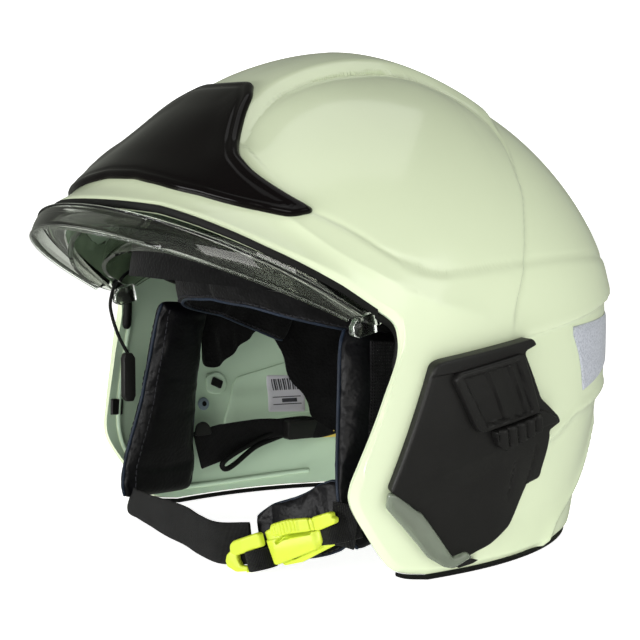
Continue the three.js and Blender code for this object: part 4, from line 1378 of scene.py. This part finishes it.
def dome_between(name, outer, inner, azimuth_count, row_count, edge, material, **settings):
    """A closed dome between two surfaces, open below, down to an edge height for each azimuth."""
    azimuth = np.linspace(0, 2 * np.pi, azimuth_count, endpoint=False)
    v = np.linspace(0, 1, row_count)[:, None] * 0.99
    grids = []
    for size, grow, relief_of in (outer, inner):
        low = depth_where(azimuth, lambda p: p[:, 2] > edge(p[:, 1]), 0.02, 1.99, 26, grow, size)
        depth = low * (1 - v)
        a = np.broadcast_to(azimuth, depth.shape)
        place = dome(a, depth, grow, size)
        grids.append(place + dome_normal(a, depth, grow, size) * relief_of(a, depth)[..., None])
    count = azimuth_count * row_count
    top, bottom = grids
    poles = [[0, CROWN_SHIFT, g[-1, :, 2].max()] for g in grids]
    vertices = np.vstack([top.reshape(-1, 3), poles[:1], bottom.reshape(-1, 3), poles[1:]])
    start = count + 1
    faces = [
        *grid_faces(row_count, azimuth_count, 0, True, True),
        *grid_faces(row_count, azimuth_count, start, True)
    ]
    last = (row_count - 1) * azimuth_count
    for c in range(azimuth_count):
        n = (c + 1) % azimuth_count
        faces.append((last + n, count, last + c))
        faces.append((start + last + c, start + count, start + last + n))
        faces.append((c, n, start + n, start + c))
    return piece(name, vertices, faces, material, **settings)


def liner_edge(y):
    return np.interp(y, (-200, -60, -20, 45, 70, 200), (146, 128, 122, 116, 88, 80))


def cap_edge(y):
    return np.interp(y, (-200, 200), (176, 150))


def plain(azimuth, depth):
    return np.zeros(depth.shape)


def liner_hollows(azimuth, depth):
    """Shallow channels in the foam's inside."""
    spokes = np.exp(-((np.sin(azimuth * 3) / 0.16) ** 2)) * ease((depth - 0.15) / 0.2)
    return 1.8 * spokes


def cap_folds(azimuth, depth):
    """Soft gathers in the cap's cloth that grow towards its edge."""
    return 0.7 * np.sin(azimuth * 26 + 2 * np.sin(azimuth * 5)) * ease((depth - 0.2) / 0.4) - 0.7


dome_between(
    "liner_foam", (LINER, 0, plain), (LINER_INSIDE, 0, liner_hollows), 150, 40, liner_edge, LINER_CLOTH,
    replaces=["impact_liner"], slot="liner_fabric", angle=60
)
cap = dome_between(
    "cap_cloth", (LINER_INSIDE, -1.0, cap_folds), (LINER_INSIDE, -3.4, cap_folds), 180, 30, cap_edge,
    LINER_CLOTH, replaces=["comfort_cap"], slot="liner_fabric", angle=60
)


def build_cap_bands():
    for index, start in enumerate((0, 60, 120)):
        path = []
        for t in np.linspace(-1, 1, 25):
            azimuth = math.radians(start + (180 if t < 0 else 0))
            path.append(dome(azimuth, abs(t) * 0.62 + 0.01, -4.9 - 0.5 * index, LINER_INSIDE))
        path = np.array(path)
        path[12] = (path[11] + path[13]) / 2
        side = np.array([-math.sin(math.radians(start)), math.cos(math.radians(start)), 0.0])
        strap(f"cap_band_{index}", path[::2], side, 18, 0.9, slot="webbing", count=80)


build_cap_bands()

# ---------------------------------------------------------------- ratchet and size adjuster


def build_ratchet():
    place = np.array([0, 118, 62]), np.array([[1.0, 0, 0], [0, 0, 1], [0, 1, 0]])
    outline = [(-36, -9), (-30, -15), (30, -15), (36, -9), (36, 9), (30, 15), (-30, 15), (-36, 9)]
    housing = block(outline, -4, 4, place, 1.4)
    piece(
        "ratchet_case", *housing, BLACK_PLASTIC, replaces=["ratchet_housing"], slot="black_plastic",
        angle=40
    )
    around = 192
    angles = np.linspace(0, 2 * np.pi, around, endpoint=False)
    flute = 0.8 * np.abs(np.cos(angles * 8)) ** 3
    rings = []
    for radius, y, depth in (
        (12, 122.5, 0), (15.4, 122.5, 0.3), (16.6, 123.4, 1), (17, 124.6, 1), (17, 131.4, 1),
        (16.5, 132.8, 1), (15.2, 133.4, 0.4), (12.6, 133.4, 0), (11.6, 132.2, 0), (4.5, 132.0, 0),
        (3.8, 132.9, 0), (0.4, 133.1, 0)
    ):
        r = radius - flute * depth
        rings.append(np.stack([r * np.cos(angles), np.full(around, y), 62 + r * np.sin(angles)], 1))
    piece(
        "ratchet_wheel", np.vstack(rings), flat_closed(len(rings), around), BLACK_PLASTIC, "ratchet_knob",
        ["ratchet_knob"], "black_plastic", angle=35
    )


build_ratchet()

# ---------------------------------------------------------------- straps

CHIN_RIGHT = [
    (-92, -52, 26), (-91.5, -59, 13), (-84, -63.5, 9.6), (-70, -67.5, 10.4), (-50, -72, 11),
    (-30, -76.5, 12), (-8, -79.5, 12.4), (8, -82, 11.4), (26, -83, 11.2), (44, -77.5, 13.6)
]


def build_straps():
    across = [
        (0, 0.3, 1), (0, 0.3, 1), (0, 0.3, 0.95), (0, 0.15, 1), (0, 0, 1), (0, 0, 1), (0, 0, 1),
        (-0.1, 0, 1), (-0.2, 0, 1), (-0.28, -0.09, 0.95)
    ]
    strap(
        "chin_strap_right_web", CHIN_RIGHT, across, (13, 13, 14, 15.5, 17.5, 19, 19.5, 19.5, 19.5, 19.5),
        1.8, replaces=["chin_strap_right"], slot="webbing", count=160
    )
    path = [(88, -64, 29), (92, -63, 29), (96, -61.5, 28.5), (99, -60, 28)]
    strap(
        "chin_strap_left_web", path, UPRIGHT, 19.5, 1.8, replaces=["chin_strap_left"],
        slot="webbing", count=30
    )
    path = [
        (40, -70, 17), (53, -67, 20.4), (64, -64.2, 22.6), (74, -61, 26.4), (83, -58.6, 31.5),
        (88, -56.5, 34)
    ]
    cushion(
        "chin_pad_cover", path,
        [(-0.2, 0, 1), (-0.28, 0, 1), (-0.3, 0, 1), (-0.36, 0, 1), (-0.4, 0, 1), (-0.4, 0, 1)],
        (14, 22, 26, 28, 30, 28), 4.6, BLACK_LEATHER, 0.5, replaces=["chin_pad"], count=50, stitch=[13, 19]
    )
    for side, sign in SIDES.items():
        path = mirrored(
            [
                (97.5, -14, 29), (97, 4, 32.5), (93.5, 25, 37), (88, 48, 37.5), (84, 62, 36.5),
                (74, 90, 44), (42, 119.5, 56)
            ],
            sign
        )
        strap(
            f"nape_strap_{side}_web", path, (sign * 0.12, 0, 1),
            (21, 20, 14, 10, 12, 12, 12, 12, 12, 12), 1.8, replaces=[f"nape_strap_{side}"], slot="webbing",
            count=140
        )
        place = turned_frame((sign * 83.5, 68, 38), (0, 0, sign * 0.42))
        outline = [(-9, -5), (-6, -8), (6, -8), (9, -5), (9, 5), (6, 8), (-6, 8), (-9, 5)]
        shape = block(outline, -1.5, 1.5, place, 0.7)
        bar = block(rectangle(3.2, 12), -2.3, 2.3, place, 0.6)
        piece(
            f"strap_buckle_{side}", *join(shape, bar), AMBER, replaces=[f"strap_clip_{side}"], slot="amber",
            angle=40
        )


build_straps()

# The elastic loop that hangs from the right nape strap.
LOOP = [
    (-92, 41, 35), (-92, 29.5, 34.2), (-92, 13.8, 28.7), (-92, 2.3, 23.8), (-92, -1.7, 20.4),
    (-92, 0.9, 17.8), (-92, 7.6, 20.4), (-92, 20.6, 28), (-92, 34.4, 31.6), (-92, 41.5, 33)
]
loop_path = smooth_line(LOOP, 90)
loop = piece("pull_loop", *tube(loop_path, 1.5, 10), RUBBER, replaces=["strap_tail"], slot="webbing")

# ---------------------------------------------------------------- buckle

BUCKLE_ENDS = np.array([(29, -83.5, 9.6), (88, -64.5, 28.5)])
BUCKLE = BUCKLE_ENDS.mean(0)
BUCKLE_ALONG = unit(BUCKLE_ENDS[1] - BUCKLE_ENDS[0])
BUCKLE_UP = unit(UPRIGHT - BUCKLE_ALONG * BUCKLE_ALONG[2])
BUCKLE_AXES = np.array([BUCKLE_ALONG, BUCKLE_UP, np.cross(BUCKLE_ALONG, BUCKLE_UP)])


def buckle_points(points):
    """Moves points from the buckle's own directions, along, up and out, to their place."""
    return BUCKLE + np.asarray(points) @ BUCKLE_AXES


def on_buckle(shape):
    return buckle_points(shape[0]), shape[1]


def local_block(outline, low, high, bevel=0.5):
    return block(outline, low, high, (np.zeros(3), np.eye(3)), bevel)


# Outlines along the buckle and up it, from its middle.
BODY_OUTLINE = [
    (-4.6, 3.2), (-1.6, 3.9), (2, 4.6), (24, 3.6), (26.6, 1.6), (26.3, -6.4), (22.6, -9), (-0.4, -12.5),
    (-2.7, -12.3), (-3.9, -3)
]
LEVER_OUTLINE = [
    (2.2, 1.2), (1.9, 4), (3.4, 6.1), (12.1, 6.7), (23.6, 5.3), (23.6, -0.6), (20, -0.4), (12, 0.4),
    (4.6, 0.2)
]
TAIL_OUTLINE = [
    (25.7, 5.3), (30, 5.6), (35.6, 6), (37.4, 5.2), (37, 3.8), (38.6, 2.6), (37.8, 0.6), (28, -1),
    (25.7, -0.8)
]
SLOT = np.array([(2.4, -2.4), (5, -1.3), (10, -0.9), (16, -0.9), (21, -1.2)])
FLANGE = [
    (-1, -11.4), (8, -11.6), (20, -8.4), (33.6, -6.4), (34.4, -7.4), (33.4, -8.4), (21, -11.2), (11, -13.6),
    (1, -13.6)
]
FRAME_TOP = [
    (-24.8, -3), (-24, 0.6), (-21.6, 2.2), (-6.4, 3.7), (-4.6, 3.1), (-4.6, -2.2), (-5.4, -3), (-22, -4.8)
]
FRAME_SIDE = [
    (-24.6, -1.6), (-28, -3.4), (-29.6, -6), (-29.4, -8.8), (-25, -12), (-18, -12.8), (-17.4, -10.6),
    (-21.4, -9.6), (-22.4, -7), (-22, -3.4)
]
FRAME_FOOT = [(-20, -13.4), (-19, -10.6), (-5, -9.8), (-4.2, -12), (-6, -12.8)]


def body_height(points, edge):
    u, w = points.T
    swell = 1.1 * np.exp(-(((w + 6) / 5) ** 2)) * ease((u + 3) / 4)
    step = 0.9 * ease((w + 1.2) / 0.6)
    slot = 2.6 * np.exp(-((distance_to(points, SLOT) / 0.75) ** 4))
    tail = 1.4 * ease((u - 22) / 3)
    return 3.2 + swell - step - slot - tail - half_round(edge, 1.1)


def lever_height(points, edge):
    u = points[:, 0]
    ribs = 0.65 * np.abs(np.sin((u - 4) * np.pi / 1.75)) * ease((u - 3.6) / 0.5) * ease((18.4 - u) / 0.5)
    hump = 1.6 * np.exp(-(((u - 8) / 6.5) ** 2)) + 0.7 * ease((u - 26) / 6)
    return 5.6 + hump + ribs - half_round(edge, 0.9)


def frame_height(points, edge):
    return 6.2 - 0.14 * np.clip(-points[:, 0] - 16, 0, 20) - half_round(edge, 1.2)


def build_buckle():
    fine = 0.42
    body = patch(rounded(BODY_OUTLINE, 1.2, 0.6), flat_skin, body_height, -2.6, fine, (0.3, 0.7, 1.1))
    flange = local_block(FLANGE, -2.2, 0.4, 0.5)
    hook = local_block([(22, -6), (22, 2), (27.5, 1.2), (28.6, -1.6), (27.6, -5)], -1.6, 1.6, 0.5)
    piece(
        "buckle_case", *on_buckle(join(body, flange, hook)), BUCKLE_YELLOW, replaces=["buckle_body"],
        slot="buckle", angle=40
    )
    lever = patch(rounded(LEVER_OUTLINE, 1.0, 0.6), flat_skin, lever_height, 3.6, fine, (0.3, 0.6, 0.9))
    tail = patch(rounded(TAIL_OUTLINE, 0.9, 0.6), flat_skin, lever_height, 3.2, fine, (0.3, 0.6, 0.9))
    knuckle = local_block([(24, -0.5), (26.2, -0.5), (26.2, 5), (24, 5)], 3.9, 6.1, 0.8)
    piece("buckle_tail", *on_buckle(join(tail, knuckle)), BUCKLE_YELLOW, slot="buckle", angle=40)
    piece(
        "buckle_tongue", *on_buckle(lever), BUCKLE_YELLOW, "buckle_lever", ["buckle_lever"], "buckle",
        angle=40
    )
    top = patch(rounded(FRAME_TOP, 1.6, 0.6), flat_skin, frame_height, 3.0, fine, (0.3, 0.7, 1.1))
    side = local_block(FRAME_SIDE, 0.2, 3.6, 0.8)
    foot = local_block(FRAME_FOOT, 0, 2.6, 0.7)
    piece(
        "buckle_loop", *on_buckle(join(top, side, foot)), BUCKLE_YELLOW, replaces=["buckle_frame"],
        slot="buckle", angle=40
    )
    fold = [
        (-20, -2.2), (-17.6, 0.5), (-16.2, 3.6), (-13.5, 5.6), (-9, 5.8), (-5.6, 4.2), (-4.2, 1.0),
        (-5.5, -2.4), (-10, -3.6), (-20, -3.8)
    ]
    path = buckle_points([(u, -8.5, n) for u, n in fold])
    strap("strap_fold", path, BUCKLE_AXES[1], 9.6, 1.5, slot="webbing", count=80)
    path = [(20, -2, -1.4), (28, -2.2, 1.6), (33, -2.4, 2.6), (39, -2.6, 0.4), (44, -2.4, -3)]
    path = buckle_points(path)
    strap("strap_anchor", path, BUCKLE_AXES[1], 12, 1.8, slot="webbing", count=50)


build_buckle()

# ---------------------------------------------------------------- inside of the shell


def wall_skin(points):
    """Points and inward normals on the inside of the shell's left wall, for points of y and z."""
    targets = np.column_stack([np.zeros(len(points)), points])
    azimuth, depth = on_dome(targets, (1, 2))
    base = dome(azimuth, depth)
    sunk = np.minimum(relief(base, np.stack([azimuth, depth], -1)), 0) - WALL
    normal = dome_normal(azimuth, depth)
    return base + normal * sunk[:, None], -normal


def circle(centre, radius, count=28):
    """A round outline."""
    angles = np.linspace(0, 2 * np.pi, count, endpoint=False)
    return np.stack([centre[0] + radius * np.cos(angles), centre[1] + radius * np.sin(angles)], 1)


def flat_top(level, round_off):
    return lambda points, edge: level - half_round(edge, round_off)


PANEL = [(40.3, 67.5), (23.5, 64), (20.2, 57.1), (11.8, 37.6), (37.1, 39), (74, 42.5), (80, 62), (76, 76)]


def build_wall(side):
    """The panel, boss, clips, rivet and rib on the inside of the shell's wall."""
    sign = SIDES[side]

    def add(name, outline, level, round_off, material, slot, base=-0.4, spacing=3.0, rings=(0.3, 0.6)):
        vertices, faces = patch(outline, wall_skin, flat_top(level, round_off), base, spacing, rings)
        piece(f"{name}_{side}", mirrored(vertices, sign), faces, material, slot=slot, angle=45)

    add("wall_panel", rounded(PANEL, 4, 1.5), 1.3, 0.6, SHELL_PAINT, "shell")
    add(
        "wall_boss", rounded([(4, 66.5), (12, 68.5), (17.5, 64), (17, 57.5), (11, 55), (4, 57)], 3, 1), 1.5,
        0.6, SHELL_PAINT, "shell", spacing=1.6
    )
    c, s = math.cos(0.45), math.sin(0.45)
    square = np.array(rectangle(7, 4.6)) @ [[c, -s], [s, c]] + (10.4, 61.8)
    add("wall_clip", rounded(square, 0.8, 0.5), 2.7, 0.5, BLACK_PLASTIC, "black_plastic", 1.3, 1.2)
    add(
        "front_clip", rounded([(-63.9, 60.3), (-55.8, 59.3), (-57.5, 51), (-65.2, 52)], 0.8, 0.6), 1.4, 0.5,
        BLACK_PLASTIC, "black_plastic", -0.4, 1.4
    )
    add("wall_rivet", circle((1.0, 50.8), 3.6), 1.3, 0.9, RIVET, "black_plastic", -0.4, 0.9)
    add("wall_rivet_core", circle((1.0, 50.8), 1.5, 20), 1.7, 0.4, BLACK_PLASTIC, "black_plastic", 1.3, 0.7)
    line = np.array(
        [(-46, 101), (-52, 80.5), (-59.5, 54), (-60, 39), (-55, 28), (-44, 15), (-33, 8.5), (0, 7),
        (30, 7.5), (60, 9)]
    )
    place, inward = wall_skin(spaced(smooth_line(line, 60), 120))
    vertices, faces = tube(mirrored(place + inward * 0.1, sign), 1.5, 8)
    piece(f"wall_rib_{side}", vertices, faces, SHELL_PAINT, slot="shell")


for side in SIDES:
    build_wall(side)


def label_bar(y, z, width, height):
    """A thin bar lying on the label, with its lower front corner at y, z."""
    ys, zs = np.meshgrid(np.linspace(y, y + width, 8), np.linspace(z, z + height, 5), indexing="ij")
    points, inward = wall_skin(np.stack([ys.ravel(), zs.ravel()], 1))
    outside, inside = [(points + inward * lift).reshape(8, 5, 3) for lift in (1.95, 1.7)]
    return slab(outside, inside)


def build_label():
    sheet = patch(
        rounded([(43, 64), (65, 63), (63, 42), (41, 43)], 1.2, 1), wall_skin, flat_top(1.75, 0.15), 1.3,
        2.5, (0.2,)
    )
    piece(
        "size_sticker", mirrored(sheet[0], -1), sheet[1], LABEL, replaces=["size_label"], slot="label",
        angle=40
    )
    bars = [label_bar(45.4 + 1.3 * index, 55, 0.5 + 0.35 * (index % 2), 6.6) for index in range(12)]
    bars += [label_bar(44.4, 50.8, 17, 0.5), label_bar(44.4, 46.6, 17, 0.5), label_bar(50, 47.9, 9, 2.2)]
    vertices, faces = join(*bars)
    piece("size_sticker_bars", mirrored(vertices, -1), faces, GREY_BARS, slot="label")


build_label()

def build_flap(side):
    """A flap of cloth that hangs from the liner's lower edge, behind the cheek pad."""
    sign = SIDES[side]
    outline = rounded(
        [(-14, 106), (30, 100), (22, 93.6), (11, 86.5), (-1, 77.4), (-7.5, 74.6), (-14, 76.5)], 3.5, 1.5
    )

    def skin(points):
        y, z = points.T
        x = 91.5 + 1.2 * np.sin(y * 0.55 + 0.1 * z) * ease((104 - z) / 14)
        return np.stack([x, y, z], 1), np.tile([1.0, 0, 0], (len(points), 1))

    vertices, faces = patch(
        outline, skin, lambda points, edge: 0.9 - half_round(edge, 0.7), -0.9, 1.6, (0.3, 0.7, 1.5)
    )
    flap = piece(
        f"liner_flap_{side}", mirrored(vertices, sign), faces, LINER_CLOTH, slot="liner_fabric", angle=60
    )


for side in SIDES:
    build_flap(side)

# ---------------------------------------------------------------- rubber edges


def brim_line():
    """The shell's front edge, from one temple over the brim to the other."""
    azimuth, depth, _ = shell_edge(1200)
    p = dome(azimuth, depth)
    keep = (p[:, 1] < -62) & (p[:, 2] > 110)
    half = p[keep]
    other = half[1:][::-1] * (-1, 1, 1)
    return spaced(np.vstack([other, half]), 400)


def build_edges():
    """The seal under the brim and the trim under the bottom edge."""
    line = brim_line()
    inward = unit(line * (-1, -1, 0))
    seal = line + inward * 2.2 + np.array([0, 0, -1.5])
    section = [(-1.3, -1.5), (1.5, -1.5), (1.9, 0.2), (1.3, 1.9), (-1.2, 1.9), (-1.8, 0.2)]
    rings = np.stack([seal + inward * a + UPRIGHT * b for a, b in section], 1)
    piece("brim_gasket", *closed_rings(rings), RUBBER, replaces=["brim_seal"], slot="rubber", angle=60)
    azimuth, depth, _ = shell_edge(1200)
    p = dome(azimuth, depth)
    keep = (p[:, 1] > -40) & (p[:, 2] < 8)
    half = p[keep]
    whole = spaced(np.vstack([half, half[::-1][1:] * (-1, 1, 1)]), 360)
    middle = whole + unit(whole * (-1, -1, 0)) * 2.5
    tangent = unit(np.gradient(middle, axis=0))
    side = unit(np.cross(tangent, (0, 0, 1.0)))
    section = [
        (-1.5, -1.4), (-1.1, -1.9), (1.1, -1.9), (1.5, -1.4), (1.5, -0.3), (1.1, 0), (-1.1, 0), (-1.5, -0.3)
    ]
    rings = np.stack([middle + side * a + UPRIGHT * b for a, b in section], 1)
    rings[..., 2] = np.maximum(rings[..., 2], 0.05)
    piece("bottom_edging", *closed_rings(rings), RUBBER, replaces=["bottom_trim"], slot="rubber", angle=60)


build_edges()

# ---------------------------------------------------------------- visor posts, tabs, switch and cable


def build_small_parts():
    """The visors' posts, the grip tabs, and the switch with its cable."""
    for side, sign in SIDES.items():
        post = revolve(
            [
                (3.4, 93.2), (4, 93.8), (4, 112), (10.4, 112), (11, 112.6), (11, 117), (10.2, 117.6),
                (3, 117.6)
            ],
            HINGE, (sign, 0, 0), 48
        )
        slot_bar = block(rectangle(12, 2.4), 92.2, 94.4, side_frame(HINGE, sign), 0.4)
        piece(
            f"visor_post_{side}", *join(post, slot_bar), BLACK_PLASTIC, replaces=[f"visor_pivot_{side}"],
            slot="black_plastic", angle=35
        )
        outline = [(-7.5, -2.5), (-5, -4.6), (5.4, -4.6), (5.4, 4.6), (-3.4, 4.6), (-7, 1.4)]
        tab = block(outline, -2.2, 2.2, turned_frame((sign * 100, -57, 117), (0.2, 0, 0)), 0.9)
        piece(
            f"visor_tab_{side}", *tab, CLEAR_EDGE, "ocular_visor", [f"ocular_tab_{side}"], "clear", angle=40
        )
    place = side_frame((-92, -60.7, 74.2), -1)
    outline = [(-3.5, -10), (-1.6, -12.8), (2.2, -12.8), (3.5, -10)]
    outline += [(3.5, 10), (1.6, 12.8), (-2.4, 12.8), (-3.5, 10)]
    case = block(outline, -2, 2, place, 0.6)
    key = block(rectangle(3.4, 8, (0, -3)), 1.6, 2.7, place, 0.3)
    piece(
        "switch_case", *join(case, key), BLACK_PLASTIC, replaces=["switch_box"], slot="black_plastic",
        angle=40
    )
    route = [
        (-92.4, -60.8, 86.9), (-95, -64.5, 96), (-98.8, -66, 106), (-100.3, -66, 114), (-100.2, -62, 124),
        (-99.6, -52, 130), (-99.4, -28, 130), (-99.4, -10, 127)
    ]
    line = smooth_line(route, 120)
    cable = piece("switch_cable", *tube(line, 0.9, 10), RUBBER, replaces=["lamp_cable"], slot="rubber")


build_small_parts()

# ---------------------------------------------------------------- neck flaps, keepers and rim gaskets

NECK_FLAP = [
    (112, 36), (125, 36), (139, 37.5), (143, 40.6), (148, 45.4), (149.3, 52.5), (151.6, 59), (155.7, 65),
    (157.7, 70.6), (159, 80), (161.5, 87), (165, 95)
]


def build_neck_flap(side):
    """A cloth flap round the back of the head, with a stepped front edge."""
    sign = SIDES[side]
    front = spaced(smooth_line(NECK_FLAP, 60), 46)
    rows = 14
    grids = []
    for inset in (1.0, 2.6):
        grid = []
        for row in np.linspace(0, 1, rows):
            azimuth = np.radians(front[:, 0] * (1 - row) + np.linspace(112, 166, 46) * row)
            top = 111 - 19 * np.sin(azimuth)
            z = front[:, 1] * (1 - row) + top * row
            place = ring_on_head(azimuth, z, inset)
            fold = 1.3 * np.sin(np.degrees(azimuth) * 0.42) * (1 - row)
            place -= unit(place * (1, 1, 0)) * (fold + 1.3)[:, None]
            grid.append(place)
        grids.append(np.array(grid))
    vertices, faces = slab(*grids)
    flap = piece(
        f"neck_flap_{side}", mirrored(vertices, -sign), faces, LINER_CLOTH, slot="liner_fabric", angle=60
    )


def build_side_details(side):
    """The keeper and tab of the nape strap, and the gasket at the temple."""
    sign = SIDES[side]
    outline = rounded([(-13, -5.2), (13, -6), (13, 5), (-13, 5.6)], 1.5)
    keeper = block(outline, -3, 3, side_frame((sign * 87.5, 51.5, 36.2), sign), 0.8)
    outline = rounded([(-6, -3), (-5.6, 0.6), (-4.6, 3.4), (0, 4.9), (3.2, 2.4), (5, -3)], 2)
    tab = block(outline, -0.9, 0.9, side_frame((sign * 96.2, -10.6, 40.4), sign), 0.5)
    piece(f"strap_keeper_{side}", *join(keeper, tab), BLACK_PLASTIC, slot="black_plastic", angle=40)
    line = spaced(smooth_line([(-59, 122), (-53, 118), (-49.5, 112), (-49.5, 106), (-50.5, 99)], 80), 90)
    place, inward = wall_skin(line)
    vertices, faces = tube(mirrored(place + inward * 2.2, sign), 2.4, 12)
    piece(f"temple_gasket_{side}", vertices, faces, RUBBER, slot="rubber")


for side in SIDES:
    build_neck_flap(side)
    build_side_details(side)

# ---------------------------------------------------------------- lamps, and the white studio

# The lamps behind the lenses keep their plain shapes.
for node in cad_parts.values():
    if not node.hide_render:
        node.data.shade_smooth()
        node.data.set_sharp_from_angle(angle=math.radians(35))
    paint(node, BLACK_PLASTIC)


def studio(name, rings, glow):
    """A round piece of the studio, from radius and height pairs."""
    around = 96
    angles = np.linspace(0, 2 * np.pi, around, endpoint=False)
    vertices = np.vstack(
        [np.stack([r * np.cos(angles), r * np.sin(angles), np.full(around, z)], 1) for r, z in rings]
    )
    faces = list(grid_faces(len(rings), around, 0, True))
    if rings[0][1] == rings[1][1]:
        faces.append(tuple(range(around)))
    mesh = bpy.data.meshes.new(name)
    mesh.from_pydata(vertices.tolist(), [], [tuple(map(int, f)) for f in faces])
    obj = bpy.data.objects.new(name, mesh)
    bpy.context.scene.collection.objects.link(obj)
    white = Material(name + "_white", 0.9, Specular_IOR_Level=0.1)
    white.color(white.noise(2, 2), *shades((0.93, 0.93, 0.93), 0.01))
    white.set(Emission_Color=(1, 1, 1, 1), Emission_Strength=glow)
    paint(obj, white.material)
    return obj


floor = studio("floor", [(0.5, 0), (4, 0)], 0.9)
floor.visible_glossy = False
backdrop = studio("backdrop", [(3.9, 0), (4, 0.4), (4, 5)], 1.0)
backdrop.visible_diffuse = False
backdrop.visible_glossy = False
backdrop.visible_shadow = False
